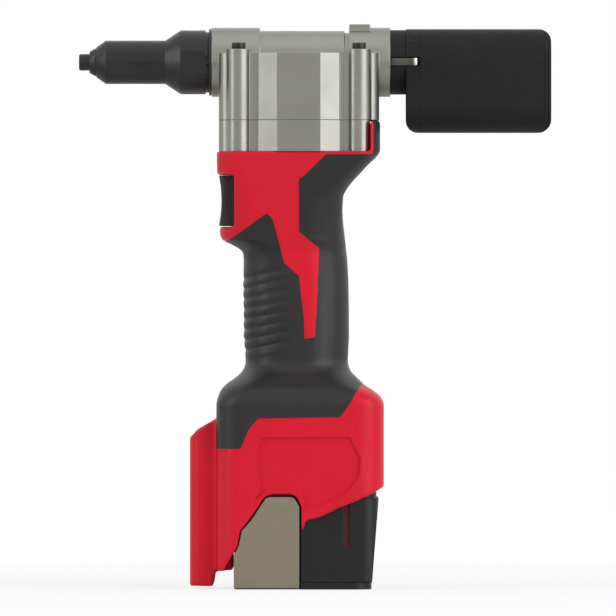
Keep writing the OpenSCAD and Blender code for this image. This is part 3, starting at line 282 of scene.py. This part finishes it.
brightSteel = metalFinish("brightSteel", {
    "dark": (0.46, 0.46, 0.46), "light": (0.56, 0.56, 0.55), "edge": (0.7, 0.7, 0.69),
    "metal": 1.0, "mottle": 160, "rough": (0.2, 0.34), "grain": 2600, "grainDepth": 0.07, "brush": (0.12, 1, 1)})
latchSteel = metalFinish("latchSteel", {
    "dark": (0.085, 0.082, 0.07), "light": (0.115, 0.11, 0.095), "edge": (0.36, 0.35, 0.32),
    "metal": 0.9, "mottle": 300, "rough": (0.3, 0.42), "grain": 2200, "grainDepth": 0.1, "brush": (0.15, 1, 1)})
copperWire = metalFinish("copperWire", {
    "dark": (0.48, 0.18, 0.08), "light": (0.62, 0.26, 0.13), "edge": (0.75, 0.36, 0.2),
    "metal": 1.0, "mottle": 400, "rough": (0.28, 0.42), "grain": 2600, "grainDepth": 0.12})
magnetBlock = metalFinish("magnetBlock", {
    "dark": (0.05, 0.05, 0.052), "light": (0.075, 0.075, 0.078), "edge": (0.16, 0.16, 0.16),
    "metal": 0.6, "mottle": 200, "rough": (0.4, 0.55), "grain": 1800, "grainDepth": 0.2})
greenBoard = plasticFinish("greenBoard", {
    "dark": (0.008, 0.07, 0.025), "light": (0.014, 0.10, 0.04), "edge": (0.16, 0.16, 0.09),
    "mottle": 700, "rough": (0.3, 0.45), "gloss": 0.5, "grain": 2200, "grainDepth": 0.1})
cellSleeve = plasticFinish("cellSleeve", {
    "dark": (0.03, 0.10, 0.26), "light": (0.045, 0.13, 0.31), "edge": (0.1, 0.2, 0.4),
    "mottle": 60, "rough": (0.25, 0.34), "gloss": 0.5, "grain": 1800, "grainDepth": 0.08})
print("finishes made")


# camera and studio

camera = {"lens": 700, "sensor": 36, "sight": 50, "away": 4193 * mm, "centre": (3.15 * mm, 98 * mm)}


def setCamera():
    bpy.ops.object.camera_add(
        location=(camera["centre"][0], -camera["away"], camera["centre"][1]),
        rotation=(math.radians(90), 0, 0))
    cam = bpy.context.object
    cam.data.lens = camera["lens"]
    cam.data.sensor_width = camera["sensor"]
    cam.data.clip_end = camera["sight"]
    bpy.context.scene.camera = cam


studio = {
    "lamps": {
        "left": {"turn": -64, "rise": 22, "away": 0.9, "wide": 0.3, "tall": 0.8, "power": 2.0},
        "right": {"turn": 49, "rise": 19, "away": 0.9, "wide": 0.75, "tall": 1.0, "power": 5.4},
        "upperLeft": {"turn": -58, "rise": 47, "away": 0.9, "wide": 0.3, "tall": 0.3, "power": 0.35},
        "upperRight": {"turn": 58, "rise": 47, "away": 0.9, "wide": 0.3, "tall": 0.3, "power": 0.5},
        "above": {"turn": 8, "rise": 80, "away": 1.0, "wide": 0.9, "tall": 0.9, "power": 0.8},
    },
    "aim": 0.1, "ambient": 0.42,
}


def setStudio():
    aim = Vector((0, 0, studio["aim"]))
    for name, lamp in studio["lamps"].items():
        turn, rise = math.radians(lamp["turn"]), math.radians(lamp["rise"])
        way = Vector((math.sin(turn) * math.cos(rise), -math.cos(turn) * math.cos(rise), math.sin(rise)))
        spot = aim + way * lamp["away"]
        bpy.ops.object.light_add(type="AREA", location=spot, rotation=way.to_track_quat("Z", "Y").to_euler())
        light = bpy.context.object
        light.name = name + "Softbox"
        light.data.shape = "RECTANGLE"
        light.data.size = lamp["wide"]
        light.data.size_y = lamp["tall"]
        light.data.energy = lamp["power"]
    world = bpy.data.worlds.new("studioWorld")
    bpy.context.scene.world = world
    world.use_nodes = True
    tree = world.node_tree
    tree.nodes.clear()
    out = tree.nodes.new("ShaderNodeOutputWorld")
    paths = tree.nodes.new("ShaderNodeLightPath")
    ambient = tree.nodes.new("ShaderNodeBackground")
    ambient.inputs["Color"].default_value = (1, 1, 1, 1)
    ambient.inputs["Strength"].default_value = studio["ambient"]
    white = tree.nodes.new("ShaderNodeBackground")
    white.inputs["Color"].default_value = (1, 1, 1, 1)
    seen = tree.nodes.new("ShaderNodeMath")
    seen.operation = "MAXIMUM"
    tree.links.new(paths.outputs["Is Camera Ray"], seen.inputs[0])
    mirrored = tree.nodes.new("ShaderNodeMath")
    mirrored.operation = "MAXIMUM"
    tree.links.new(paths.outputs["Is Glossy Ray"], mirrored.inputs[0])
    tree.links.new(paths.outputs["Is Transmission Ray"], mirrored.inputs[1])
    tree.links.new(mirrored.outputs[0], seen.inputs[1])
    mix = tree.nodes.new("ShaderNodeMixShader")
    tree.links.new(seen.outputs[0], mix.inputs[0])
    tree.links.new(ambient.outputs[0], mix.inputs[1])
    tree.links.new(white.outputs[0], mix.inputs[2])
    tree.links.new(mix.outputs[0], out.inputs[0])


ground = {"size": 8, "drop": 0.1, "grey": 0.92, "glow": (0.8, 1), "fade": (0.1, 0.5)}


def setFloor():
    bpy.ops.mesh.primitive_plane_add(size=ground["size"], location=(0, 0, -ground["drop"] * mm))
    floor = bpy.context.object
    floor.name = "studioFloor"
    mat = bpy.data.materials.new("floorWhite")
    mat.use_nodes = True
    tree = mat.node_tree
    tree.nodes.clear()
    out = tree.nodes.new("ShaderNodeOutputMaterial")
    paper = tree.nodes.new("ShaderNodeBsdfDiffuse")
    paper.inputs["Color"].default_value = (ground["grey"], ground["grey"], ground["grey"], 1)
    glow = tree.nodes.new("ShaderNodeEmission")
    paths = tree.nodes.new("ShaderNodeLightPath")
    place = tree.nodes.new("ShaderNodeTexCoord")
    reach = tree.nodes.new("ShaderNodeVectorMath")
    reach.operation = "LENGTH"
    tree.links.new(place.outputs["Object"], reach.inputs[0])
    # the shadow fades out round the object
    fade = spread(tree, reach.outputs["Value"], *ground["glow"], *ground["fade"])
    share = tree.nodes.new("ShaderNodeMath")
    share.operation = "MULTIPLY"
    tree.links.new(fade, share.inputs[0])
    tree.links.new(paths.outputs["Is Camera Ray"], share.inputs[1])
    mix = tree.nodes.new("ShaderNodeMixShader")
    tree.links.new(share.outputs[0], mix.inputs[0])
    tree.links.new(paper.outputs[0], mix.inputs[1])
    tree.links.new(glow.outputs[0], mix.inputs[2])
    tree.links.new(mix.outputs[0], out.inputs[0])
    floor.data.materials.append(mat)
    settled(floor)


setCamera()
setStudio()
setFloor()
bpy.context.scene.view_settings.view_transform = "Standard"
print("camera, lamps and floor set")


# handle: two moulded halves with rubber over them

handle = {
    "voxel": 0.5, "rounds": 14, "keep": 300000,
    "rubberEdge": [
        (-29.7, 48.99), (-20.3, 48.99), (-17.5, 55.68), (-14.1, 59.6), (14.4, 60.0), (18.5, 65.9), (19.8, 68.6),
        (22.0, 71.7), (31.6, 71.7), (31.6, 164.5), (25.9, 164.5), (25.9, 151.55), (9.45, 151.55), (2.3, 144.6),
        (0, 142.85), (0, 124.64), (7.07, 118.9), (6.65, 104.9), (5.8, 90.8), (5.6, 87.9), (1.96, 87.2),
        (1.75, 93.8), (0, 109.2), (-5.25, 113.9), (-6.5, 119.2), (-9.1, 128.8), (-10.15, 130.2), (-11.2, 131),
        (-22.4, 123.1), (-26.95, 120.5), (-29.7, 119.5)],
    "rubberDepth": 1.2, "rubberProud": 0.12, "rubberGap": 0.05, "seam": 0.06, "gripSeam": 0.02, "smooth": 50,
    "panelEdge": [
        (-15.4, 30.8), (-13.5, 35.4), (-14.1, 40.6), (-14.7, 49.1), (-13, 53.1), (17.9, 53.1), (21.4, 45.9),
        (20.9, 39.3), (17.4, 34.7), (13.3, 32.1), (6.3, 28.8), (2.2, 28.2), (1.0, 34.1), (-11.2, 34.7)],
    "panelDepth": 0.8, "panelRim": 1.06, "panelFrom": 25.7, "panelSkin": 26.5, "baseSide": 27,
    "grooveLow": 84.0, "grooveHigh": 108.0, "grooves": 8, "grooveFrom": -16.5, "grooveTo": -4.4,
    "grooveTilt": 0.26, "grooveWidth": 1.5, "grooveFill": 0.14,
    "axis": -0.7, "frontSwell": 1.1, "rearSwell": 0.6, "swellRun": 6, "swellFade": 12,
    "frontFrom": -9, "frontSpan": (76, 118), "rearFrom": 7, "rearSpan": (76, 132),
    "flareSpan": (64, 80.5), "flareFade": 4, "flareRounds": 120,
    "footTop": 60.3, "footFace": -28.74, "footCut": -28.72,
    "speck": 1500, "cutReach": 1.2, "floorRounds": 8,
}


def inside(edge, x, z):
    found = False
    for i in range(len(edge)):
        (x1, z1), (x2, z2) = edge[i - 1], edge[i]
        if (z1 > z) != (z2 > z) and x < (x2 - x1) * (z - z1) / (z2 - z1) + x1:
            found = not found
    return found


def cutAlong(ob, edge):
    takeOnly(ob)
    bpy.ops.object.mode_set(mode="EDIT")
    for i in range(len(edge)):
        a, b = Vector(edge[i - 1]) * mm, Vector(edge[i]) * mm
        if abs(a.x) > 29 * mm and abs(b.x) > 29 * mm:  # past the ends of the handle
            continue
        run = (b - a).normalized()
        length = (b - a).length
        mesh = bmesh.from_edit_mesh(ob.data)
        for face in mesh.faces:
            spot = face.calc_center_median()
            near = Vector((spot.x, spot.z)) - a
            along, beside = near.dot(run), abs(near.x * run.y - near.y * run.x)
            face.select_set(-mm < along < length + mm and beside < handle["cutReach"] * mm)
        bmesh.update_edit_mesh(ob.data)
        bpy.ops.mesh.bisect(plane_co=(a.x, 0, a.y), plane_no=(-run.y, 0, run.x))
    bpy.ops.mesh.select_all(action="DESELECT")
    bpy.ops.object.mode_set(mode="OBJECT")


def pressPanel(ob):
    edge = handle["panelEdge"]
    cutAlong(ob, edge)
    middle = Vector((sum(x for x, z in edge), sum(z for x, z in edge))) / len(edge)
    wider = [tuple(middle + (Vector(p) - middle) * handle["panelRim"]) for p in edge]
    for side in (-1, 1):
        level = side * handle["baseSide"] * mm
        takeOnly(ob)
        bpy.ops.object.mode_set(mode="EDIT")
        bpy.ops.mesh.select_mode(type="VERT")
        mesh = bmesh.from_edit_mesh(ob.data)
        for vert in mesh.verts:
            x, z = vert.co.x / mm, vert.co.z / mm
            near = vert.co.y * side > handle["panelFrom"] * mm
            vert.select_set(near and (inside(edge, x, z) or inside(wider, x, z)))
        mesh.select_flush_mode()
        bmesh.update_edit_mesh(ob.data)
        bpy.ops.transform.resize(value=(1, 0, 1), center_override=(0, level, 0))  # a flat side to press into
        bpy.ops.mesh.select_all(action="DESELECT")
        bpy.ops.mesh.select_mode(type="FACE")
        mesh = bmesh.from_edit_mesh(ob.data)
        for face in mesh.faces:
            spot = face.calc_center_median()
            skin = spot.y * side > handle["panelSkin"] * mm
            face.select_set(skin and inside(edge, spot.x / mm, spot.z / mm))
        bmesh.update_edit_mesh(ob.data)
        bpy.ops.mesh.extrude_region_move(
            TRANSFORM_OT_translate={"value": (0, -side * handle["panelDepth"] * mm, 0)})
        bpy.ops.object.mode_set(mode="OBJECT")


rubberRule = {
    "near": 1.2, "far": 2.4,  # reach to the grip's solid
    "ribFrom": -9, "ribSpan": (78, 122), "waistSpan": (76, 122), "flareSpan": (60, 78), "seamHalf": 1.5,
}


def rubberFaces(ob):
    rule, flags = rubberRule, []
    for face in ob.data.polygons:
        spot, x, z = face.center, face.center.x / mm, face.center.z / mm
        clear = spot.x > handle["footFace"] * mm or spot.z > handle["footTop"] * mm  # of the front foot
        if not (clear and inside(handle["rubberEdge"], x, z)):
            flags.append(False)
            continue
        # how squarely the face looks away from the grip's axis: the inner skin is below 0
        away = Vector((spot.x - handle["axis"] * mm, spot.y, 0)).normalized().dot(face.normal)
        grooved = away > -0.5 and x < rule["ribFrom"] and rule["ribSpan"][0] < z < rule["ribSpan"][1]
        waist = away > 0 and rule["waistSpan"][0] < z < rule["waistSpan"][1]
        flare = away > 0.1 and rule["flareSpan"][0] < z < rule["flareSpan"][1]
        atSeam = away > 0.2 and abs(spot.y) < rule["seamHalf"] * mm
        grip = nodes["left_grip" if spot.y < 0 else "right_grip"]
        reach = rule["far"] if grooved or away > 0.3 else rule["near"]
        hit, where, normal, index = grip.closest_point_on_mesh(spot, distance=reach * mm)
        flags.append(hit and (normal.dot(face.normal) > 0.3 or grooved or waist or atSeam or flare))
    return flags


def withoutSpecks(ob, flags, least):
    # patches of fewer faces than least take the colour around them
    flags = np.array(flags, dtype=bool)
    count = len(flags)
    totals, edges = np.empty(count, dtype=int), np.empty(len(ob.data.loops), dtype=int)
    ob.data.polygons.foreach_get("loop_total", totals)
    ob.data.loops.foreach_get("edge_index", edges)
    faces = np.repeat(np.arange(count), totals)
    order = np.argsort(edges, kind="stable")
    edges, faces = edges[order], faces[order]
    joined = (edges[1:] == edges[:-1]) & (flags[faces[1:]] == flags[faces[:-1]])
    one, two = faces[:-1][joined], faces[1:][joined]
    label = np.arange(count)
    while True:
        before = label.copy()
        low = np.minimum(label[one], label[two])
        np.minimum.at(label, before[one], low)
        np.minimum.at(label, before[two], low)
        label = label[label]
        if np.array_equal(label, before):
            break
    sizes = np.bincount(label, minlength=count)
    specks = sizes[label] < least
    print("specks taken out:", int(specks.sum()), "faces")
    return np.where(specks, ~flags, flags).tolist()


def pickFaces(ob, flags):
    ob.data.polygons.foreach_set("select", flags)
    ob.data.edges.foreach_set("select", [False] * len(ob.data.edges))
    ob.data.vertices.foreach_set("select", [False] * len(ob.data.vertices))
    bpy.ops.object.mode_set(mode="EDIT")
    bpy.ops.mesh.select_mode(type="FACE")


def vertexTable(ob, key):
    table = np.empty(len(ob.data.vertices) * 3)
    ob.data.vertices.foreach_get(key, table)
    return table.reshape(-1, 3).T


def weighted(ob, name, weights):
    group = ob.vertex_groups.new(name=name)
    for index in np.nonzero(weights > 0.01)[0]:
        group.add([int(index)], float(weights[index]), "REPLACE")


def between(value, low, high, fade):
    return np.clip((value - low) / fade, 0, 1) * np.clip((high - value) / fade, 0, 1)


def shapeGrip(ob):
    x, y, z = vertexTable(ob, "co") / mm
    weighted(ob, "flare", between(z, *handle["flareSpan"], handle["flareFade"]))
    applied(ob, "SMOOTH", factor=0.5, iterations=handle["flareRounds"], vertex_group="flare")
    x, y, z = vertexTable(ob, "co") / mm
    depth = np.zeros(len(x))
    half = handle["grooveWidth"] / 2
    for i in range(handle["grooves"]):
        low = handle["grooveLow"] + (handle["grooveHigh"] - handle["grooveLow"]) * i / (handle["grooves"] - 1)
        # distance from the groove's line, seen from the side
        along = np.clip(x, handle["grooveFrom"] - 4, handle["grooveTo"])
        line = low + (along - handle["grooveTo"]) * handle["grooveTilt"]
        gap = np.hypot(z - line, (x - along))
        depth = np.maximum(depth, np.where(gap < half, 0.5 + 0.5 * np.cos(np.pi * gap / half), 0))
    depth *= np.clip((x + 15.5) / 3, 0, 1) * handle["grooveFill"]  # the front keeps the whole groove
    across, out, up = vertexTable(ob, "normal")
    depth *= (across * (x - handle["axis"]) + out * y) > 0  # the outer skin alone
    most = depth.max()
    front = np.clip((handle["frontFrom"] - x) / handle["swellRun"], 0, 1)
    rear = np.clip((x - handle["rearFrom"]) / handle["swellRun"], 0, 1)
    weighted(ob, "fill", depth / most)
    weighted(ob, "front", front * between(z, *handle["frontSpan"], handle["swellFade"]))
    weighted(ob, "rear", rear * between(z, *handle["rearSpan"], handle["swellFade"]))
    applied(ob, "DISPLACE", vertex_group="fill", mid_level=0, strength=most * mm)
    # the swell runs along X, since along the normals the grooves would close up
    for group, swell in (("front", -handle["frontSwell"]), ("rear", handle["rearSwell"])):
        applied(ob, "DISPLACE", vertex_group=group, direction="X", mid_level=0, strength=swell * mm)
    ob.vertex_groups.clear()


def halfOf(ob, newName, side):
    half = twin(ob, newName)
    onAll(half, bpy.ops.mesh.bisect, plane_co=(0, side * handle["seam"] * mm, 0), plane_no=(0, side, 0),
          use_fill=True, clear_inner=True)
    return half


def gripHalf(ob, newName, side):
    half = twin(ob, newName)
    onAll(half, bpy.ops.mesh.bisect, plane_co=(0, side * handle["gripSeam"] * mm, 0), plane_no=(0, side, 0),
          clear_inner=True)
    # only what hangs together with the outermost face stays, not the loose patches inside the wall
    bpy.ops.object.mode_set(mode="EDIT")
    bpy.ops.mesh.select_all(action="DESELECT")
    mesh = bmesh.from_edit_mesh(half.data)
    max(mesh.faces, key=lambda face: side * face.calc_center_median().y).select_set(True)
    bmesh.update_edit_mesh(half.data)
    bpy.ops.mesh.select_linked()
    bpy.ops.mesh.select_all(action="INVERT")
    bpy.ops.mesh.delete(type="FACE")
    bpy.ops.object.mode_set(mode="OBJECT")
    depth, proud = handle["rubberDepth"], handle["rubberProud"]
    applied(half, "SOLIDIFY", thickness=(depth + proud - handle["rubberGap"]) * mm,
            offset=-1 + 2 * proud / (depth + proud))
    return half


def makeHandle():
    copies = [nodeCopy(n, n + "Start") for n in ("left_shell", "left_grip", "right_shell", "right_grip")]
    takeOnly(copies[0])
    for ob in copies[1:]:
        ob.select_set(True)
    bpy.ops.object.join()
    whole = copies[0]
    rounded(whole, handle["voxel"], handle["rounds"])
    shapeGrip(whole)
    thinned(whole, handle["keep"])
    pressPanel(whole)
    cutAlong(whole, handle["rubberEdge"])
    cutAlong(whole, [(handle["footCut"], 48.9), (handle["footCut"], 61.5)])
    cutAlong(whole, [(-29.6, handle["footTop"]), (-28, handle["footTop"])])
    flags = withoutSpecks(whole, rubberFaces(whole), handle["speck"])
    print("rubber faces:", sum(flags), "of", len(flags))

    grips = twin(whole, "gripStart")
    takeOnly(grips)
    pickFaces(grips, [not f for f in flags])
    bpy.ops.mesh.delete(type="FACE")
    bpy.ops.object.mode_set(mode="OBJECT")

    takeOnly(whole)
    pickFaces(whole, flags)
    bpy.ops.mesh.extrude_region_shrink_fatten(
        TRANSFORM_OT_shrink_fatten={"value": -handle["rubberDepth"] * mm})
    bpy.ops.mesh.vertices_smooth(factor=0.5, repeat=handle["floorRounds"])  # of the bed under the rubber
    bpy.ops.object.mode_set(mode="OBJECT")

    for word, side in (("left", -1), ("right", 1)):
        shell = halfOf(whole, word + "HalfShell", side)
        shaded(shell, handle["smooth"])
        finished(shell, "tool", [word + "_shell"], redPlastic)
        grip = gripHalf(grips, word + "GripRubber", side)
        shaded(grip, handle["smooth"])
        finished(grip, "tool", [word + "_grip"], gripRubber)
        print(word, "half:", len(shell.data.polygons), "faces, grip", len(grip.data.polygons))
    for ob in (whole, grips):
        bpy.data.objects.remove(ob)


makeHandle()
print("handle made")


# trigger: a rounded copy of its solid

fingerTrigger = {"voxel": 0.3, "rounds": 8, "keep": 40000}


def makeTrigger():
    piece = nodeCopy("trigger", "fingerTrigger")
    rounded(piece, fingerTrigger["voxel"], fingerTrigger["rounds"])
    thinned(piece, fingerTrigger["keep"])
    takeOnly(piece)
    bpy.ops.object.shade_smooth()
    finished(piece, "trigger", ["trigger"], triggerPlastic)


makeTrigger()
print("trigger rounded")


# castings, collector, battery and clips: copies of their solids with broken edges

# new name, width of the broken edge, growth, body, slot and finish
crispPieces = {
    "gear_head": ("gearHeadCasting", 0.25, 0, "tool", "cast_metal", castMetal),
    "ring_gear_case": ("ringCaseCasting", 0.15, 0, "tool", "cast_metal", castMetal),
    "collector_neck": ("collectorNeck", 0.2, 0, "tool", "black_plastic", blackPlastic),
    "collector_cap": ("collectorCap", 0.12, 0, "collector", "black_plastic", blackPlastic),
    "collector_cup": ("collectorCup", 0.12, 0, "collector", "black_plastic", blackPlastic),
    "battery_case": ("batteryCase", 0.3, 0, "battery", "battery_plastic", batteryPlastic),
    "battery_floor": ("batteryFloor", 0.12, 0, "battery", "battery_plastic", batteryPlastic),
    "left_clip": ("leftClip", 0.35, 0.3, "left_clip", "clip_plastic", clipPlastic),
    "right_clip": ("rightClip", 0.35, 0.3, "right_clip", "clip_plastic", clipPlastic),
}
brokenEdge = {"sharp": 28, "smooth": 32, "flat": 1, "steps": 3, "weight": 100}
batterySlot = {"front": 15.6, "rear": 17.6, "low": 14.6, "high": 29.8, "deep": 24.1}
neckEnd = {"from": 36.7, "to": 37.3, "shift": 0.27}  # the neck's shoulder comes up to the collector


def crisped(ob, width, grow):
    takeOnly(ob)
    bpy.ops.object.mode_set(mode="EDIT")
    bpy.ops.mesh.select_all(action="SELECT")
    bpy.ops.mesh.dissolve_limited(angle_limit=math.radians(brokenEdge["flat"]))
    if grow:
        bpy.ops.transform.shrink_fatten(value=grow * mm)
    bpy.ops.object.mode_set(mode="OBJECT")
    applied(ob, "BEVEL", width=width * mm, segments=brokenEdge["steps"], limit_method="ANGLE",
            angle_limit=math.radians(brokenEdge["sharp"]), use_clamp_overlap=False)
    shaded(ob, brokenEdge["smooth"])
    applied(ob, "WEIGHTED_NORMAL", keep_sharp=True, weight=brokenEdge["weight"])


def tamed(ob, node, reach):
    # a bevel without clamping can throw a point far off, so it goes back on the solid
    strays = 0
    for vert in ob.data.vertices:
        hit, where, normal, index = nodes[node].closest_point_on_mesh(vert.co)
        if hit and (vert.co - where).length > reach * mm:
            vert.co = where
            strays += 1
    print(ob.name, "has", strays, "stray points set back")


def paintSlot(ob):
    ob.data.materials.append(slotRed)
    for face in ob.data.polygons:
        spot = face.center / mm
        face.material_index = int(
            batterySlot["front"] < spot.x < batterySlot["rear"] and batterySlot["low"] < spot.z < batterySlot["high"]
            and abs(spot.y) < batterySlot["deep"])


def closeNeck(ob):
    takeOnly(ob)
    bpy.ops.object.mode_set(mode="EDIT")
    bpy.ops.mesh.select_mode(type="VERT")
    bpy.ops.mesh.select_all(action="DESELECT")
    bpy.ops.object.mode_set(mode="OBJECT")
    for vert in ob.data.vertices:
        vert.select = neckEnd["from"] < vert.co.x / mm < neckEnd["to"]
    bpy.ops.object.mode_set(mode="EDIT")
    bpy.ops.transform.translate(value=(neckEnd["shift"] * mm, 0, 0))
    bpy.ops.object.mode_set(mode="OBJECT")


for node, (newName, width, grow, body, slot, finish) in crispPieces.items():
    piece = nodeCopy(node, newName)
    crisped(piece, width, grow)
    tamed(piece, node, width + grow)
    finished(piece, body, [node], finish)
    if node == "battery_case":
        paintSlot(piece)
    if node == "collector_neck":
        closeNeck(piece)
    print(newName, "with broken edges has", len(piece.data.polygons), "faces")


# latch: a spring leaf whose end is bent into a hook

latch = {
    "low": 182.7, "high": 185.3, "thick": 0.4, "edge": 0.12, "steps": 2, "sharp": 50, "smooth": 48, "bright": 40.2,
    "path": [
        (32.3, -10.6), (38.6, -10.6), (39.5, -10.75), (40.1, -11.15), (40.7, -11.2), (41.2, -10.9), (41.5, -10.55)],
}


def makeLatch():
    (x, y), tall = latch["path"][0], latch["high"] - latch["low"]
    bpy.ops.mesh.primitive_plane_add(size=1, location=(0, 0, 0))
    leaf = bpy.context.object
    leaf.name = leaf.data.name = "latchLeaf"
    bpy.ops.object.mode_set(mode="EDIT")
    bpy.ops.mesh.select_mode(type="VERT")
    bpy.ops.mesh.select_all(action="SELECT")
    bpy.ops.mesh.merge(type="CENTER")
    bpy.ops.transform.translate(value=(x * mm, y * mm, latch["low"] * mm))
    bpy.ops.mesh.extrude_region_move(TRANSFORM_OT_translate={"value": (0, 0, tall * mm)})
    bpy.ops.mesh.select_all(action="SELECT")
    for nextX, nextY in latch["path"][1:]:
        bpy.ops.mesh.extrude_region_move(
            TRANSFORM_OT_translate={"value": ((nextX - x) * mm, (nextY - y) * mm, 0)})
        x, y = nextX, nextY
    bpy.ops.mesh.select_all(action="SELECT")
    bpy.ops.mesh.normals_make_consistent(inside=False)
    bpy.ops.object.mode_set(mode="OBJECT")
    applied(leaf, "SOLIDIFY", thickness=latch["thick"] * mm, offset=0)
    onAll(leaf, bpy.ops.mesh.normals_make_consistent, inside=False)
    applied(leaf, "BEVEL", width=latch["edge"] * mm, segments=latch["steps"], limit_method="ANGLE",
            angle_limit=math.radians(latch["sharp"]))
    shaded(leaf, latch["smooth"])
    finished(leaf, "latch", ["collector_latch"], latchSteel)
    leaf.data.materials.append(brightSteel)
    for face in leaf.data.polygons:  # painted highlight: the hook's faces take the brighter steel to stand in for its glint
        face.material_index = int(face.center.x > latch["bright"] * mm)


makeLatch()
print("latch bent")


# nose: turned on the pulling axis, ring by ring

turnedSides = 72
turnedEdge = {"sharp": 28, "smooth": 40, "steps": 3}


def turned(name, rings):
    x, r = rings[0]
    bpy.ops.mesh.primitive_circle_add(
        vertices=turnedSides, radius=r * mm, location=(x * mm, 0, pullZ), rotation=(0, math.radians(90), 0))
    ob = bpy.context.object
    ob.name = ob.data.name = name
    settled(ob)
    takeOnly(ob)
    bpy.ops.object.mode_set(mode="EDIT")
    bpy.ops.mesh.select_mode(type="VERT")
    bpy.ops.mesh.select_all(action="SELECT")
    for nextX, nextR in rings[1:] + rings[:1]:
        bpy.ops.mesh.extrude_region_move(TRANSFORM_OT_translate={"value": ((nextX - x) * mm, 0, 0)})
        if nextR != r:
            bpy.ops.transform.resize(value=(1, nextR / r, nextR / r), center_override=(nextX * mm, 0, pullZ))
        x, r = nextX, nextR
    bpy.ops.mesh.select_all(action="SELECT")
    bpy.ops.mesh.remove_doubles(threshold=0.002 * mm)
    bpy.ops.mesh.normals_make_consistent(inside=False)
    bpy.ops.object.mode_set(mode="OBJECT")
    return ob


def edged(ob, width, sharp):
    applied(ob, "BEVEL", width=width * mm, segments=turnedEdge["steps"], limit_method="ANGLE",
            angle_limit=math.radians(sharp))
    shaded(ob, turnedEdge["smooth"])


nose = {
    "nosepiece": {
        "name": "nosePiece", "edge": 0.15,
        "rings": [(-77, 2.5), (-76.6, 2.9), (-73.3, 2.9), (-73.3, 3.8), (-71.1, 5.0), (-71.1, 3.2), (-68.2, 3.2),
                  (-68.2, 1.65), (-76.4, 1.65), (-77, 2.0)]},
    "nose_housing": {
        "name": "noseBarrel", "edge": 0.1,
        "rings": [(-71, 5.2), (-67.6, 7.6), (-46.8, 7.6), (-41.6, 11.05), (-41.38, 11.05), (-41.38, 6.0),
                  (-67.0, 6.0), (-68.0, 3.5), (-71, 3.5)]},
    "nose_collar": {
        "name": "noseCollar", "edge": 0.08, "flats": 10.5, "flatSmooth": 20,
        "rings": [(-41.36, 11.05), (-41.15, 11.2), (-32.7, 11.2), (-32.7, 10.6), (-31.55, 10.6), (-31.55, 8.0),
                  (-41.35, 8.0)]},
    "nose_washer": {
        "name": "noseWasher", "edge": 0.1,
        "rings": [(-31.5, 11.5), (-31.3, 11.7), (-30.6, 11.7), (-30.6, 8.0), (-31.5, 8.0)]},
}


def wrenchFlats(ob, part):
    for side in (-1, 1):
        onAll(ob, bpy.ops.mesh.bisect, plane_co=(0, side * part["flats"] * mm, 0), plane_no=(0, side, 0),
              use_fill=True, clear_outer=True)
    shaded(ob, part["flatSmooth"])


for node, part in nose.items():
    piece = turned(part["name"], part["rings"])
    edged(piece, part["edge"], turnedEdge["sharp"])
    if "flats" in part:
        wrenchFlats(piece, part)
    finished(piece, "tool", [node], blackSteel)
print("nose turned")


# screws: one cap screw and one casing screw modelled, then copied

screws = {
    "headSpots": [(-21, -17.4), (-21, 17.4), (21, -17.4), (21, 17.4)],
    "headBase": 188.32, "headTop": 190.5, "headRadius": 2.4,
    "caseSpots": [(-24.1, 148, 15.84), (-18.4, 121, 10.962), (8.6, 131, 10.962), (-12.4, 78.7, 9.796),
                  (11, 78.7, 9.796), (-24.1, 57.2, 19.98), (25, 57.2, 19.98)],
    "caseHead": 2.4, "caseRadius": 2.6,
    "socket": 1.3, "sides": 40, "edge": 0.22, "sharp": 40,
}


def screwHead(name, radius, height):
    bpy.ops.mesh.primitive_cylinder_add(
        vertices=screws["sides"], radius=radius * mm, depth=height * mm, location=(0, 0, height / 2 * mm))
    ob = bpy.context.object
    ob.name = ob.data.name = name
    settled(ob)
    # the hex socket goes a little over halfway into the head
    bpy.ops.mesh.primitive_cylinder_add(
        vertices=6, radius=screws["socket"] * mm, depth=height * mm, location=(0, 0, height * 0.95 * mm))
    cutter = bpy.context.object
    settled(cutter)
    applied(ob, "BOOLEAN", object=cutter, operation="DIFFERENCE", solver="EXACT")
    bpy.data.objects.remove(cutter)
    edged(ob, screws["edge"], screws["sharp"])
    return ob


def spreadScrews(first, node, places):
    # the first copy stands for the node with all of its screws
    for i, place in enumerate(places):
        screw = twin(first, first.name + str(i + 1))
        screw.data.transform(place)
        finished(screw, "tool", [node] if i == 0 else [], blackSteel)
    bpy.data.objects.remove(first)


def makeScrews():
    cap = screwHead("capScrew", screws["headRadius"], screws["headTop"] - screws["headBase"])
    spreadScrews(cap, "head_screws", [
        Matrix.Translation((x * mm, y * mm, screws["headBase"] * mm)) for x, y in screws["headSpots"]])
    lying = Matrix.Rotation(math.radians(-90), 4, "X")
    case = screwHead("caseScrew", screws["caseRadius"], screws["caseHead"])
    spreadScrews(case, "casing_screws", [
        Matrix.Translation((x * mm, y * mm, z * mm)) @ lying for x, z, y in screws["caseSpots"]])


makeScrews()
print("screws set")


# finish on the solids that stay

kept = {
    "steel": brightSteel, "black_steel": blackSteel, "cast_metal": castMetal, "copper": copperWire,
    "magnet": magnetBlock, "circuit_board": greenBoard, "cell_wrap": cellSleeve, "black_plastic": blackPlastic,
    "battery_plastic": batteryPlastic, "red_plastic": redPlastic, "grip_rubber": gripRubber,
    "clip_plastic": clipPlastic,
}
slotOf = {entry["node"]: entry["material_slot"] for entry in frame["record"]["subparts"]}
for name, ob in nodes.items():
    ob.data.materials.clear()
    ob.data.materials.append(kept[slotOf[name]])

print("all pieces placed")
